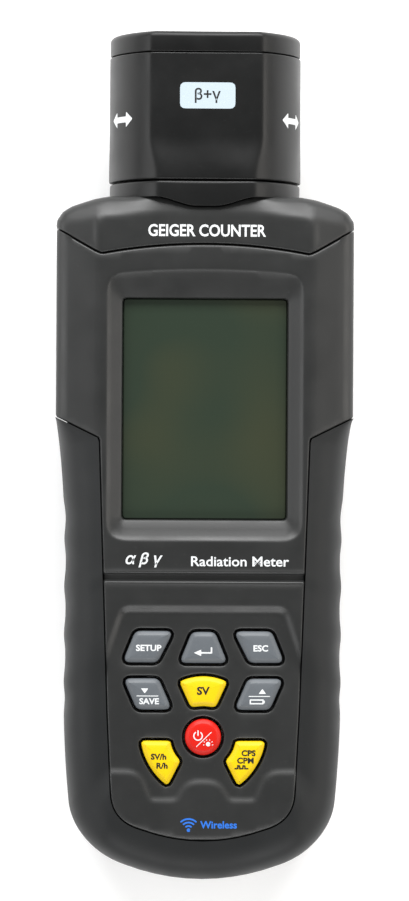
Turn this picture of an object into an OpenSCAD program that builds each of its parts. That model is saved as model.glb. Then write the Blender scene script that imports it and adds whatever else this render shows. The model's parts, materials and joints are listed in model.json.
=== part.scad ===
// Hand-held Geiger counter: a two-part case in a rubber boot, a display, nine push keys,
// and a three-position selector drum that turns a filter disc in front of the Geiger tube.
// It lies on its back. +X is to the right, +Y points to the sensor head, +Z out of the face.

/* [Overall size] */
// Width of the case at the display
body_w = 77; // [74:0.1:96]
// Length from the foot of the case to the end of the sensor lid
body_l = 219.1; // [216:0.1:270]

/* [Sensor head] */
// Radius of the selector drum, which also sets the depth of the case
drum_r = 25.1; // [23:0.1:30]
// Distance from the drum's axis to each of its three flats
drum_flat_drop = 4.4; // [3:0.1:5]
// Height of the turning drum
drum_h = 32.6; // [28:0.1:40]
// Height of the lid on the drum
lid_h = 5.5; // [5.2:0.1:8]
// Height of the fixed collar under the drum
collar_h = 3.8; // [3:0.1:6]
// Radius of the Geiger tube
tube_r = 6.4; // [5:0.1:6.8]
// Radius of each filter window in the lid
window_r = 5.8; // [4:0.1:6]

/* [Case] */
// Wall thickness of the case halves
wall = 2.4; // [2:0.1:3]
// Thickness of the rubber boot
boot_t = 2.6; // [2:0.1:3.2]
// How much narrower the grip is than the display, on each side
grip_inset = 2.6; // [2:0.05:3.5]
// Height of the plane where the two case halves meet
parting_z = 22; // [20:0.5:24]
// Width of the visible joint between neighbouring covers
seam_gap = 0.2; // [0.1:0.05:0.4]

/* [Display] */
// Width of the display window
lcd_w = 42.4; // [38:0.1:44]
// Length of the display window
lcd_h = 56.9; // [50:0.1:58]
// Width of the sunk bezel round the window
bezel_w = 50.8; // [49:0.1:53]

/* [Keypad] */
// How far a key stands above the sunk keypad
key_stand = 1.2; // [0.8:0.1:1.6]
// Gap between a key and its hole, all round
key_gap = 0.65; // [0.4:0.05:0.8]
// How far a key travels
key_travel = 0.8; // [0.5:0.1:1]
// Corner rounding of the keys
key_round = 0.9; // [0.5:0.1:1.2]
// Radius of the round power key
power_r = 4.65; // [4:0.05:5]

/* [Batteries] */
// Radius of one battery
cell_r = 5.25; // [5:0.05:6.3]
// Length of one battery
cell_l = 44.5; // [40:0.1:46]

/* [Mount] */
// Minor radius of the tripod thread
thread_r = 2.6; // [2.4:0.1:3.2]
// Depth of the tripod thread
thread_l = 8; // [7:0.1:9]

/* [Hidden] */

$fn = 48;
tiny = 0.01;

// Places along the length
y_top = body_l / 2;
y_foot = -body_l / 2;
turn_gap = 0.4;
lid_y = y_top - lid_h;
drum_y = lid_y - drum_h;
collar_y = drum_y - turn_gap - collar_h;
case_top = collar_y;
lcd_y1 = case_top - 26.2;
lcd_y0 = lcd_y1 - lcd_h;
boot_y = case_top - 56.5;
keypad_y = y_foot + 78;

// Places across the width and the depth
half_w = body_w / 2;
grip_half = half_w - grip_inset;
body_d = 2 * drum_r - 4.2;
axis_z = drum_r + 0.2;
face_z = body_d;
drum_flat = drum_r - drum_flat_drop;
core_inset = boot_t + wall;

// Selector
hub_r = drum_r - 7.3;
running_fit = 0.08;
shoulder_r = hub_r + 1.8;
tube_clear = 0.2;
tube_off = hub_r - tube_r - 3.9;
neck_r = tube_off + tube_r + tube_clear + 1.1;
flange_r = neck_r + 1;
detent_y = drum_y + 4.6;
ball_r = 1.5;
ball_at = hub_r - 0.8;
plate_y = lid_y - 3.2;
plate_t = 1.2;
lid_roof = 2.4;
lid_screw_at = drum_r - 3.6;
lid_edge = 1.5;

// Height levels, from the face down
keypad_z = face_z - 2.6;
panel_under = face_z - 5;
key_top = keypad_z + key_stand;
flange_top = panel_under - 0.4;
flange_t = 2;
flange_w = 1.3;
stem_r = 2;
board_t = 1.6;
board_top = face_z - 12.4;
board_z = board_top - board_t;
dome_t = 0.4;
stem_end = board_top + dome_t + 0.4 + key_travel;
bezel_z = face_z - 2.8;
lens_top = bezel_z - 0.4;
glass_z = panel_under - 4.4;
lamp_z = glass_z - 2.2;

// Screw posts, at plus and minus each x
board_post_r = 2.4;
BOARD_POSTS = [
    [half_w - 8, case_top - 20.2],
    [grip_half - 8.85, lcd_y0 - 10.1],
    [grip_half - 11.15, y_foot + 20]];
case_post_r = 3.2;
HEAD_POST = [half_w - 7, case_top - 9.2];
FOOT_POST = [grip_half - 13.65, y_foot + 13];
board_screw_r = 0.9;
case_screw_r = 1.4;
screw_seat_z = 10;

// Battery bay, open at the back
cell_gap = 0.3;
cell_pitch = 2 * cell_r + cell_gap;
bay_half = 2 * cell_pitch + 0.4;
bay_wall = 1.2;
cell_y = y_foot + 29.5;
bay_y0 = cell_y - 3;
bay_y1 = cell_y + cell_l + 4.5;
cell_z = cell_r + 3.15;
bay_top = cell_z + cell_r + 1.6;
door_half = bay_half + 0.4;
door_z = 0.2;
door_t = 1.8;
door_gap = 0.3;
door_y1 = bay_y1 + 8.6;
hinge_y = bay_y0 - 4.1;
hinge_z = door_z + door_t / 2;
pin_r = 0.6;
pin_l = 1;
door_screw_y = bay_y1 + 5;
ledge_z = door_z + door_t + 0.4;

// Side socket and tripod insert
port_y = case_top - 38.7;
port_l = 9;
port_h = 3.3;
insert_y = case_top - 44.2;
insert_r = thread_r + 1.9;
insert_post_r = insert_r + 2.4;
buzzer_r = 7.5;
BUZZER_AT = [insert_post_r + buzzer_r + 7, insert_y + 4];

// Keys: corners in mm from the lower edge of the groove over the keypad
SLANT_LEFT = [[-17.5, -12.9], [-7.7, -12.9], [-11.8, -21], [-20.8, -21]];
WEDGE_MIDDLE = [[-3, -13.1], [2.9, -13.1], [6.2, -21.1], [-6.2, -21.1]];
SLANT_RIGHT = [for (p = SLANT_LEFT) [-p[0], p[1]]];
LOW_LEFT = [[-20.6, -25.1], [-11.5, -25.1], [-8, -33.1], [-17.1, -33.1]];
LOW_RIGHT = [for (p = LOW_LEFT) [-p[0], p[1]]];
power_at = [0, -40.1];

// A point on a cubic curve with four control points
function curve(p, t) =
    p[0] * pow(1 - t, 3) + 3 * p[1] * t * pow(1 - t, 2) + 3 * p[2] * t * t * (1 - t) + p[3] * pow(t, 3);

// A list of points turned round to the other side of the middle line
function other_side(points) = [for (i = [len(points) - 1:-1:0]) [-points[i][0], points[i][1]]];

// Right-hand edge of the whole case, from the collar to the middle of the foot
shoulder_edge = [
    [half_w - 13.9, case_top], [half_w - 6.7, case_top - 1.7], [half_w - 1.9, case_top - 4.2],
    [half_w - 0.4, case_top - 6], [half_w, case_top - 8.2]];
grip_edge = [for (t = [0:0.2:1]) [grip_half + grip_inset * pow(1 - t, 2), boot_y - 32.7 * t]];
taper_edge = [for (t = [0:0.25:0.75]) [grip_half - 1.5 * t * t, y_foot + 49 - 29.8 * t]];
foot_corner = [
    [grip_half - 1.5, y_foot + 19.2], [grip_half - 2.65, y_foot + 12.2],
    [grip_half - 8.65, y_foot + 6.2], [grip_half - 16.15, y_foot + 3.7]];
corner_edge = [for (t = [0:0.125:1]) curve(foot_corner, t)];
foot_edge = [for (t = [0.75:-0.25:0]) [(grip_half - 16.15) * t, y_foot + 3.7 * t * t]];
right_edge = concat(shoulder_edge, grip_edge, taper_edge, corner_edge, foot_edge);

// Right-hand edge of the hard panel that the boot leaves open
panel_corner = [
    [half_w - 14.6, y_foot + 23.6], [half_w - 14.8, y_foot + 18.1],
    [half_w - 18, y_foot + 15.2], [half_w - 22.6, y_foot + 13.9]];
panel_edge = concat(
    [[half_w + 2, case_top + 1], [half_w + 2, boot_y + 1], [half_w - 11.3, boot_y - 5.5],
     [half_w - 13.6, y_foot + 44.5]],
    [for (t = [0:0.125:1]) curve(panel_corner, t)],
    [for (t = [0.66:-0.33:0]) [(half_w - 22.6) * t, y_foot + 11 + 2.9 * t * t]]);

module both_sides(edge) {
    polygon(concat(edge, other_side(edge)));
}

// Plan, cross-section and side view of the case; it is what all three have in common
module case_plan() {
    both_sides(right_edge);
}

module case_section() {
    edge = [
        [half_w - 11.5, face_z], [half_w - 1.5, face_z - 3.7], [half_w - 0.4, face_z - 4.5],
        [half_w, face_z - 6], [half_w, 9], [half_w - 0.6, 6.4], [half_w - 2.4, 3],
        [half_w - 5, 0.8], [half_w - 8, 0]];
    both_sides(edge);
}

module case_side() {
    polygon([
        [case_top, 5], [case_top, face_z - 5], [case_top - 0.8, face_z - 3],
        [case_top - 2.5, face_z - 1.2], [case_top - 5, face_z - 0.3], [case_top - 8, face_z],
        [keypad_y + 2, face_z], [keypad_y - 1.5, face_z - 0.4], [y_foot + 15, face_z - 1.6],
        [y_foot + 8, face_z - 2.8], [y_foot + 3, face_z - 5.4], [y_foot + 0.7, face_z - 9],
        [y_foot, face_z - 13], [y_foot, 12], [y_foot + 0.8, 7.5], [y_foot + 3, 3.5],
        [y_foot + 7, 0.9], [y_foot + 11, 0], [case_top - 7, 0], [case_top - 2, 1.8]]);
}

// The outer shape of the case, moved inwards by a wall
module envelope(inset = 0) {
    intersection() {
        linear_extrude(face_z) offset(delta = -inset) case_plan();
        translate([0, y_top, 0]) rotate([90, 0, 0])
            linear_extrude(body_l) offset(delta = -inset) case_section();
        translate([-body_w, 0, 0]) rotate([90, 0, 90])
            linear_extrude(2 * body_w) offset(delta = -inset) case_side();
    }
}

// Everything over the hard panel and the head, where no boot lies
module panel_block(grow = 0) {
    translate([0, 0, -1]) linear_extrude(face_z + 2) offset(delta = grow) both_sides(panel_edge);
}

// The case without the boot: full size at the head and the panel, inset under the boot
module hard_body() {
    intersection() {
        envelope();
        panel_block();
    }
    envelope(boot_t);
}

module head_part() {
    intersection() {
        children();
        translate([-body_w, boot_y + 3, -1]) cube([2 * body_w, body_l, face_z + 2]);
    }
}

module cavity() {
    head_part() envelope(wall);
    envelope(core_inset);
}

// Plan of the head cover: over a shallow arch that turns up towards both sides
module head_plan() {
    arch = [for (t = [-1:0.2:1]) [(half_w - 11.5) * t, case_top - 12.3 - 2.6 * t * t]];
    polygon(concat(
        [[-half_w - 1, case_top + 1], [-half_w - 1, case_top - 7.5]],
        arch,
        [[half_w + 1, case_top - 7.5], [half_w + 1, case_top + 1]]));
}

module head_block(grow = 0) {
    translate([0, 0, -1]) linear_extrude(face_z + 2) offset(delta = grow) head_plan();
}

module above(z) {
    translate([-body_w, -body_l, z]) cube([2 * body_w, 2 * body_l, 2 * body_d]);
}

module below(z) {
    translate([-body_w, -body_l, z - 2 * body_d]) cube([2 * body_w, 2 * body_l, 2 * body_d]);
}

// Places what follows on the selector's axis: local Z runs along +Y, local -Y faces +Z
module on_axis(y) {
    translate([0, y, axis_z]) rotate([-90, 0, 0]) children();
}

// Turns what follows to an angle from the front, at a distance from the selector's axis
module at_angle(angle, distance) {
    rotate(angle) translate([0, -distance, 0]) children();
}

module mirrored_posts(at) {
    for (side = [-1, 1]) translate([side * at[0], at[1], 0]) children();
}

module board_posts_at() {
    for (at = BOARD_POSTS) mirrored_posts(at) children();
}

module hub_hole(r) {
    on_axis(case_top - 8) cylinder(r = r, h = 10);
}

// Pan head with a cross recess and a shank; the head stands on z = 0 and the shank goes up
module screw(head_r, head_h, shank_r, shank_l) {
    difference() {
        union() {
            cylinder(r = shank_r, h = shank_l);
            translate([0, 0, -head_h]) cylinder(r1 = head_r * 0.86, r2 = head_r, h = head_h);
        }
        for (turn = [0, 90]) rotate(turn)
            translate([-head_r * 0.55, -head_r * 0.12, -head_h - 1])
                cube([head_r * 1.1, head_r * 0.24, 1 + head_h * 0.6]);
    }
}

// Wire wound into a coil whose radius changes evenly from r0 to r1
module coil(r0, r1, length, turns, wire_r) {
    sides = 6;
    steps = turns * 12;
    points = [for (i = [0:steps]) for (k = [0:sides - 1])
        let (t = i / steps, a = 360 * turns * t, s = 360 * k / sides,
            r = r0 + (r1 - r0) * t + wire_r * cos(s))
        [r * cos(a), r * sin(a), wire_r + (length - 2 * wire_r) * t + wire_r * sin(s)]];
    sleeve = [for (i = [0:steps - 1]) for (k = [0:sides - 1])
        let (n = (k + 1) % sides, b = i * sides)
        [b + k, b + sides + k, b + sides + n, b + n]];
    polyhedron(points, concat(
        [[for (k = [0:sides - 1]) k]],
        sleeve,
        [[for (k = [sides - 1:-1:0]) steps * sides + k]]), convexity = 10);
}

// Insulated wire that runs along +Y, bends, and goes up
module bent_wire(run, rise, bend, r) {
    rotate([-90, 0, 0]) cylinder(r = r, h = run, $fn = 20);
    translate([0, run, bend]) rotate([0, 90, 0]) rotate_extrude(angle = 90, $fn = 40)
        translate([bend, 0]) circle(r, $fn = 20);
    translate([0, run + bend, bend]) cylinder(r = r, h = rise - bend, $fn = 20);
}

// ---- Case ----

module battery_opening() {
    translate([-door_half - door_gap, hinge_y - door_t / 2 - door_gap, -1])
        cube([2 * (door_half + door_gap), door_y1 - hinge_y + door_t / 2 + 2 * door_gap, ledge_z + 1]);
    translate([-bay_half, bay_y0, 0])
        cube([2 * bay_half, bay_y1 - bay_y0, core_inset + 1]);
    translate([-door_half - door_gap - pin_l, hinge_y, hinge_z]) rotate([0, 90, 0])
        cylinder(r = pin_r + 0.3, h = 2 * (door_half + door_gap + pin_l));
}

module rear_case() {
    color([0.23, 0.235, 0.235]) difference() {
        union() {
            difference() {
                hard_body();
                cavity();
            }
            intersection() {
                union() {
                    mirrored_posts(HEAD_POST) cylinder(r = case_post_r + 0.6, h = face_z);
                    mirrored_posts(FOOT_POST) cylinder(r = case_post_r + 0.6, h = face_z);
                    translate([0, insert_y, 0]) cylinder(r = insert_post_r, h = thread_l + 1.5);
                    translate([0, door_screw_y, 0]) cylinder(r = 3.2, h = ledge_z + 7);
                    translate([BUZZER_AT[0], BUZZER_AT[1], 0])
                        cylinder(r = buzzer_r + 1.2, h = wall + 3);
                }
                hard_body();
            }
        }
        above(parting_z);
        battery_opening();
        gasket_groove();
        hub_hole(neck_r + 0.1);
        mirrored_posts(HEAD_POST) post_bore();
        mirrored_posts(FOOT_POST) post_bore();
        translate([0, insert_y, -1]) cylinder(r = insert_r, h = thread_l + 1);
        translate([0, door_screw_y, 0]) cylinder(r = 1.85, h = ledge_z + 6);
        translate([BUZZER_AT[0], BUZZER_AT[1], wall]) cylinder(r = buzzer_r, h = 8);
        for (a = [0:60:300]) translate([BUZZER_AT[0] + 3 * cos(a), BUZZER_AT[1] + 3 * sin(a), -1])
            cylinder(r = 0.7, h = wall + 2);
    }
}

// Screw clearance with its head's counterbore, from the back
module post_bore() {
    translate([0, 0, -1]) cylinder(r = case_screw_r + 0.1, h = parting_z + 2);
    translate([0, 0, -1]) cylinder(r = 2.8, h = screw_seat_z + 1);
}

module front_case() {
    color([0.21, 0.215, 0.215]) difference() {
        union() {
            difference() {
                hard_body();
                cavity();
            }
            translate([-bezel_w / 2 - 1.6, lcd_y0 - 6, panel_under])
                cube([bezel_w + 3.2, lcd_h + 14.5, bezel_z - panel_under + 0.4]);
            intersection() {
                union() {
                    board_posts_at() translate([0, 0, board_top])
                        cylinder(r = board_post_r, h = body_d);
                    mirrored_posts(FOOT_POST) cylinder(r = case_post_r, h = face_z);
                }
                hard_body();
            }
        }
        below(parting_z);
        head_block(seam_gap);
        gasket_groove();
        board_posts_at() translate([0, 0, board_top - 1]) cylinder(r = board_screw_r, h = 7);
        mirrored_posts(FOOT_POST) translate([0, 0, parting_z - 1]) cylinder(r = case_screw_r, h = 13);
        bezel_cut();
        groove_cut();
        keypad_cut();
        port_cut();
    }
}

// Sunk bezel with an arched top, and the window through it
module bezel_cut() {
    arch = [for (t = [-1:0.25:1]) [bezel_w / 2 * t, lcd_y1 + 7.7 - 1.4 * t * t]];
    outline = concat([[bezel_w / 2, lcd_y0 - 5.5], [-bezel_w / 2, lcd_y0 - 5.5]], arch);
    translate([0, 0, face_z - 1.2]) linear_extrude(3) polygon(outline);
    translate([0, 0, bezel_z]) linear_extrude(5) offset(delta = -1.8) polygon(outline);
    translate([0, (lcd_y0 + lcd_y1) / 2, 0]) linear_extrude(body_d + 1) window_outline(0);
}

module window_outline(shrink) {
    offset(r = 0.8) square([lcd_w - 1.6 - 2 * shrink, lcd_h - 1.6 - 2 * shrink], center = true);
}

module groove_cut() {
    translate([-half_w + 12, keypad_y - 0.2, face_z - 1.2]) cube([body_w - 24, 2.3, 3]);
}

// Sunk keypad with a stepped foot, the holes for the keys, and room for their flanges
module keypad_cut() {
    half = half_w - 13.2;
    translate([0, keypad_y, keypad_z]) linear_extrude(5) polygon([
        [-half + 5, -7.4], [-half, -15.8], [-half + 0.8, -49.2], [-16.6, -49.4],
        [-13.9, -56.4], [-5.8, -56.4], [-3.8, -51.6], [3.8, -51.6], [5.8, -56.4], [13.9, -56.4],
        [16.6, -49.4], [half - 0.8, -49.2], [half, -15.8], [half - 5, -7.4]]);
    translate([-23, keypad_y - 54.2, board_top]) cube([46, 44.2, panel_under - board_top]);
    for (i = [0:8]) translate([0, keypad_y, 0]) linear_extrude(body_d + 1)
        offset(r = key_gap, $fn = 24) key_outline(i);
}

module port_cut() {
    translate([-half_w - 1, port_y - 0.3, board_top - 0.2])
        cube([wall + 3, port_l + 0.6, port_h + 0.6]);
}

module head_cover() {
    color([0.22, 0.22, 0.215]) difference() {
        union() {
            difference() {
                envelope();
                envelope(wall);
            }
            intersection() {
                mirrored_posts(HEAD_POST) cylinder(r = case_post_r, h = face_z);
                envelope();
            }
        }
        below(parting_z);
        difference() {
            below(face_z + 1);
            head_block();
        }
        gasket_groove();
        hub_hole(neck_r + 0.1);
        lobe(0.15);
        mirrored_posts(HEAD_POST) translate([0, 0, parting_z - 1]) cylinder(r = case_screw_r, h = 13);
    }
}

module rubber_boot() {
    color([0.24, 0.245, 0.255]) difference() {
        envelope();
        envelope(boot_t);
        panel_block(seam_gap);
        battery_opening();
    }
}

// Ring halfway through the wall, where the two halves meet
module cavity_plan(grow) {
    offset(delta = grow) {
        offset(delta = -core_inset) case_plan();
        intersection() {
            offset(delta = -wall) case_plan();
            translate([-body_w, boot_y + 3]) square([2 * body_w, body_l]);
        }
    }
}

module gasket_ring() {
    translate([0, 0, parting_z - 0.6]) linear_extrude(1.2) difference() {
        cavity_plan(1.7);
        cavity_plan(0.7);
    }
}

module gasket_groove() {
    gasket_ring();
}

module case_gasket() {
    color([0.1, 0.1, 0.1]) difference() {
        gasket_ring();
        hub_hole(neck_r + 0.4);
    }
}

module case_screws() {
    color([0.6, 0.6, 0.62]) {
        mirrored_posts(HEAD_POST) translate([0, 0, screw_seat_z]) screw(2.6, 2.2, case_screw_r, 22);
        mirrored_posts(FOOT_POST) translate([0, 0, screw_seat_z]) screw(2.6, 2.2, case_screw_r, 22);
    }
}

module tripod_insert() {
    color([0.75, 0.6, 0.3]) translate([0, insert_y, 0]) difference() {
        cylinder(r = insert_r, h = thread_l);
        translate([0, 0, -1]) cylinder(r = thread_r, h = thread_l + 2);
        translate([0, 0, -tiny]) cylinder(r1 = thread_r + 0.6, r2 = thread_r, h = 0.6);
        for (z = [2.5, 5]) translate([0, 0, z]) rotate_extrude()
            translate([insert_r - 0.35, 0]) square([1, 0.8]);
    }
}

// ---- Display ----

module lcd_window() {
    color([0.55, 0.6, 0.55, 0.4]) translate([0, (lcd_y0 + lcd_y1) / 2, 0]) {
        translate([0, 0, panel_under - 1.6]) linear_extrude(1.6) window_outline(-2.4);
        translate([0, 0, panel_under - tiny]) linear_extrude(lens_top - panel_under + tiny)
            window_outline(0.1);
    }
}

module lcd_frame() {
    color([0.75, 0.75, 0.73]) translate([0, (lcd_y0 + lcd_y1) / 2, board_top]) difference() {
        linear_extrude(panel_under - 1.8 - board_top)
            square([lcd_w + 6.8, lcd_h + 8.2], center = true);
        translate([0, 0, lamp_z - board_top - 0.1]) linear_extrude(20)
            square([lcd_w + 4, lcd_h + 5.4], center = true);
        translate([0, 0, -1]) linear_extrude(20) square([lcd_w - 4, lcd_h - 4], center = true);
    }
}

module lcd_glass() {
    color([0.3, 0.34, 0.28]) translate([0, (lcd_y0 + lcd_y1) / 2, glass_z]) {
        linear_extrude(1.1) square([lcd_w + 3.6, lcd_h + 5], center = true);
        translate([0, 1, 1.1]) linear_extrude(1.1) square([lcd_w + 3.6, lcd_h + 3], center = true);
    }
}

module lcd_backlight() {
    color([0.92, 0.94, 0.92]) translate([0, (lcd_y0 + lcd_y1) / 2, lamp_z])
        linear_extrude(2) square([lcd_w + 3.6, lcd_h + 5], center = true);
}

// Flat ribbon from the glass, over the end of the backlight, to the board
module lcd_connector() {
    color([0.8, 0.55, 0.2]) {
        translate([-12, lcd_y0 - 6.6, board_top]) cube([24, 1.6, 2.2]);
        translate([-10, lcd_y0 - 6.0, board_top + 2.2]) cube([20, 0.3, glass_z - board_top]);
    }
}

// ---- Electronics ----

module board_outline() {
    wide = half_w - wall - 2.6;
    slim = grip_half - core_inset - 1.6;
    edge = [
        [wide, case_top - 16.2], [wide, boot_y + 5], [slim, boot_y + 1],
        [slim, y_foot + 36], [slim - 1.4, y_foot + 28], [slim - 1.4, y_foot + 17.5]];
    both_sides(edge);
}

module main_board() {
    color([0.1, 0.35, 0.2]) translate([0, 0, board_z]) linear_extrude(board_t) difference() {
        board_outline();
        board_posts_at() circle(board_screw_r + 0.2);
    }
}

module board_screws() {
    color([0.7, 0.7, 0.7])
        board_posts_at() translate([0, 0, board_z]) screw(1.9, 1.3, board_screw_r, 7);
}

module processor_chip() {
    color([0.12, 0.12, 0.13]) translate([-5, lcd_y0 + 24.4, board_z - 1.2]) {
        cube([10, 10, 1.2]);
        for (i = [0:7]) translate([-1, 0.9 + i * 1.1, 0.7]) cube([12, 0.5, 0.5]);
    }
}

module hv_transformer() {
    color([0.3, 0.25, 0.2]) translate([15, lcd_y1 - 2, board_z]) {
        translate([-7, -6, -1.2]) cube([14, 12, 1.2]);
        translate([0, 0, -9]) cylinder(r = 5, h = 8);
        translate([0, 0, -9.6]) cylinder(r = 5.8, h = 0.8);
    }
}

module hv_capacitor() {
    color([0.2, 0.3, 0.6]) translate([-15, lcd_y1 - 14, board_z - 4]) rotate([-90, 0, 0])
        cylinder(r = 4, h = 17);
}

module wireless_module() {
    color([0.75, 0.75, 0.76]) {
        translate([-20, lcd_y0 + 2, board_z - 0.8]) cube([16, 22, 0.8]);
        translate([-19, lcd_y0 + 3, board_z - 2.6]) cube([14, 15, 1.8]);
    }
}

module buzzer() {
    color([0.1, 0.1, 0.1]) translate([BUZZER_AT[0], BUZZER_AT[1], wall]) difference() {
        cylinder(r = buzzer_r, h = 5);
        translate([0, 0, 4]) cylinder(r = 1.2, h = 2);
    }
}

module usb_socket() {
    color([0.72, 0.72, 0.72]) translate([-half_w + 0.6, port_y, board_top]) difference() {
        cube([7.4, port_l, port_h]);
        translate([-1, 0.5, 0.5]) cube([7, port_l - 1, port_h - 1]);
    }
    color([0.72, 0.72, 0.72]) translate([-half_w + 2, port_y + 1.6, board_top + 1.3])
        cube([5, port_l - 3.2, 0.7]);
}

KEY_CENTRES = [
    [-14.4, -17], [0, -17.4], [14.4, -17], [-14.3, -29.1], [0, -28.2], [14.3, -29.1],
    power_at, [-10.6, -46.6], [10.6, -46.6]];

module dome_switches() {
    color([0.8, 0.8, 0.8]) for (at = KEY_CENTRES)
        translate([at[0], keypad_y + at[1], board_top]) cylinder(r1 = 2.8, r2 = 2, h = dome_t);
}

module keypad_mat() {
    color([0.5, 0.5, 0.52]) translate([0, keypad_y, board_top]) difference() {
        translate([-21.8, -53, 0]) cube([43.6, 42, 1.2]);
        for (at = KEY_CENTRES) translate([at[0], at[1], -1]) cylinder(r = 3.2, h = 4);
    }
}

// ---- Batteries ----

module battery_box() {
    color([0.15, 0.15, 0.16]) difference() {
        translate([-bay_half - bay_wall, bay_y0 - bay_wall, core_inset])
            cube([2 * (bay_half + bay_wall), bay_y1 - bay_y0 + 2 * bay_wall, bay_top - core_inset]);
        translate([-bay_half, bay_y0, 0])
            cube([2 * bay_half, bay_y1 - bay_y0, bay_top - bay_wall]);
    }
}

module cells_at() {
    for (i = [-1.5:1:1.5]) translate([i * cell_pitch, 0, cell_z]) children();
}

module batteries() {
    color([0.15, 0.2, 0.35]) cells_at() translate([0, cell_y, 0]) rotate([-90, 0, 0]) {
        cylinder(r = cell_r, h = cell_l - 1);
        cylinder(r = 1.9, h = cell_l);
    }
}

module battery_springs() {
    color([0.8, 0.8, 0.8]) cells_at() translate([0, bay_y0 + 0.4, 0]) rotate([-90, 0, 0])
        coil(3.2, 2, cell_y - bay_y0 - 0.4, 3, 0.25);
}

module battery_plates() {
    color([0.78, 0.78, 0.76]) {
        cells_at() translate([-4.4, bay_y0, -4]) cube([8.8, 0.4, 8]);
        cells_at() translate([-4.4, cell_y + cell_l, -4])
            cube([8.8, bay_y1 - cell_y - cell_l, 8]);
    }
}

module battery_wires() {
    color([0.7, 0.1, 0.1]) for (side = [-1, 1])
        translate([side * 12, bay_y1 + bay_wall, cell_z]) bent_wire(4, board_z - cell_z, 3, 0.6);
}

module battery_door() {
    color([0.22, 0.225, 0.225]) difference() {
        union() {
            translate([-door_half, hinge_y, door_z])
                cube([2 * door_half, door_y1 - hinge_y, door_t]);
            translate([-door_half, hinge_y, hinge_z]) rotate([0, 90, 0])
                cylinder(r = door_t / 2, h = 2 * door_half);
            translate([-door_half - pin_l, hinge_y, hinge_z]) rotate([0, 90, 0])
                cylinder(r = pin_r, h = 2 * (door_half + pin_l));
        }
        translate([0, door_screw_y, door_z - 1]) cylinder(r = 1.6, h = door_t + 2);
        translate([0, door_screw_y, door_z - 1]) cylinder(r = 2.6, h = 2);
        for (i = [0:3]) translate([-7, door_y1 - 14 - i * 2.4, door_z - 1]) cube([14, 1, 1.4]);
    }
}

module battery_door_screw() {
    color([0.6, 0.6, 0.62]) translate([0, door_screw_y, door_z + 1]) screw(2.3, 1, 1.25, 6);
}

// ---- Sensor head ----

module drum_outline(shrink = 0) {
    intersection() {
        circle(drum_r - shrink, $fn = 96);
        rotate(90) circle(r = 2 * (drum_flat - shrink), $fn = 3);
    }
}

// Rounded tongue of the collar over the middle of the head
module lobe(grow) {
    translate([0, case_top, 0]) linear_extrude(face_z + 1) offset(delta = grow) polygon([
        [-11, 1], [-10.4, -0.4], [-8.4, -1.5], [-5, -2], [5, -2], [8.4, -1.5], [10.4, -0.4], [11, 1]]);
}

module tube_hub() {
    color([0.2, 0.205, 0.2]) difference() {
        union() {
            on_axis(collar_y) linear_extrude(collar_h) drum_outline(0.25);
            on_axis(case_top - wall - 0.2) cylinder(r = neck_r, h = wall + 1);
            on_axis(case_top - wall - 3.2) cylinder(r = flange_r, h = 3);
            on_axis(collar_y) cylinder(r = hub_r, h = plate_y - collar_y);
            intersection() {
                lobe(0);
                above(face_z - 8);
                below(face_z - 0.9);
                on_axis(case_top - 3) cylinder(r = drum_r, h = 4);
            }
        }
        on_axis(case_top - 20) at_angle(0, tube_off) cylinder(r = tube_r + tube_clear, h = 80);
        on_axis(detent_y) rotate([-90, 0, 0]) translate([0, 0, 5]) cylinder(r = ball_r + 0.1, h = hub_r);
        for (a = [110, 180, 250]) on_axis(plate_y - 8) at_angle(a, hub_r - 3.4)
            cylinder(r = board_screw_r, h = 9);
    }
}

module tube_grommet() {
    color([0.08, 0.08, 0.08]) on_axis(case_top - wall - 5.4) at_angle(0, tube_off) difference() {
        cylinder(r = tube_r + 2, h = 2.2);
        translate([0, 0, -1]) cylinder(r = tube_r, h = 5);
    }
}

module gm_tube() {
    front = plate_y + plate_t;
    back = case_top - wall - 5.4;
    color([0.75, 0.76, 0.77]) on_axis(back) at_angle(0, tube_off) difference() {
        union() {
            cylinder(r = tube_r, h = front - back);
            translate([0, 0, -2]) cylinder(r = tube_r - 1, h = 3);
            translate([0, 0, -4.4]) cylinder(r = 0.7, h = 3);
        }
        translate([0, 0, front - back - 1.2]) cylinder(r = tube_r - 0.8, h = 2);
    }
}

module tube_window() {
    color([0.7, 0.6, 0.4, 0.6]) on_axis(plate_y + plate_t - 1.2) at_angle(0, tube_off)
        cylinder(r = tube_r - 0.8, h = 0.3);
}

module anode_clip() {
    color([0.8, 0.7, 0.35]) on_axis(case_top - wall - 9.6) at_angle(0, tube_off) difference() {
        cylinder(r = 1.6, h = 2);
        cylinder(r = 0.7, h = 4);
    }
}

module tube_leads() {
    board_edge = case_top - 16.2;
    color([0.75, 0.1, 0.1]) translate([0, board_edge, axis_z + tube_off]) rotate([-90, 0, 0]) {
        cylinder(r = 0.5, h = case_top - wall - 9.8 - board_edge);
        translate([4.6, 0, 0]) cylinder(r = 0.5, h = case_top - wall - 7.4 - board_edge);
    }
}

module retaining_plate() {
    color([0.7, 0.7, 0.7]) on_axis(plate_y) difference() {
        cylinder(r = shoulder_r - 0.4, h = plate_t);
        at_angle(0, tube_off) translate([0, 0, -1]) cylinder(r = tube_r + tube_clear, h = 4);
        for (a = [110, 180, 250]) at_angle(a, hub_r - 3.4) translate([0, 0, -1])
            cylinder(r = board_screw_r + 0.1, h = 4);
    }
}

module retaining_screws() {
    color([0.65, 0.65, 0.66]) for (a = [110, 180, 250])
        on_axis(plate_y + plate_t) at_angle(a, hub_r - 3.4) rotate([180, 0, 0])
            screw(1.7, 1.1, board_screw_r, 7);
}

module detent_spring() {
    color([0.75, 0.75, 0.75]) on_axis(detent_y) rotate([-90, 0, 0]) translate([0, 0, 5])
        coil(1.1, 1.1, ball_at - ball_r - 5, 6, 0.2);
}

module detent_ball() {
    color([0.85, 0.85, 0.86]) on_axis(detent_y) rotate([-90, 0, 0]) translate([0, 0, ball_at])
        sphere(ball_r);
}

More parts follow.
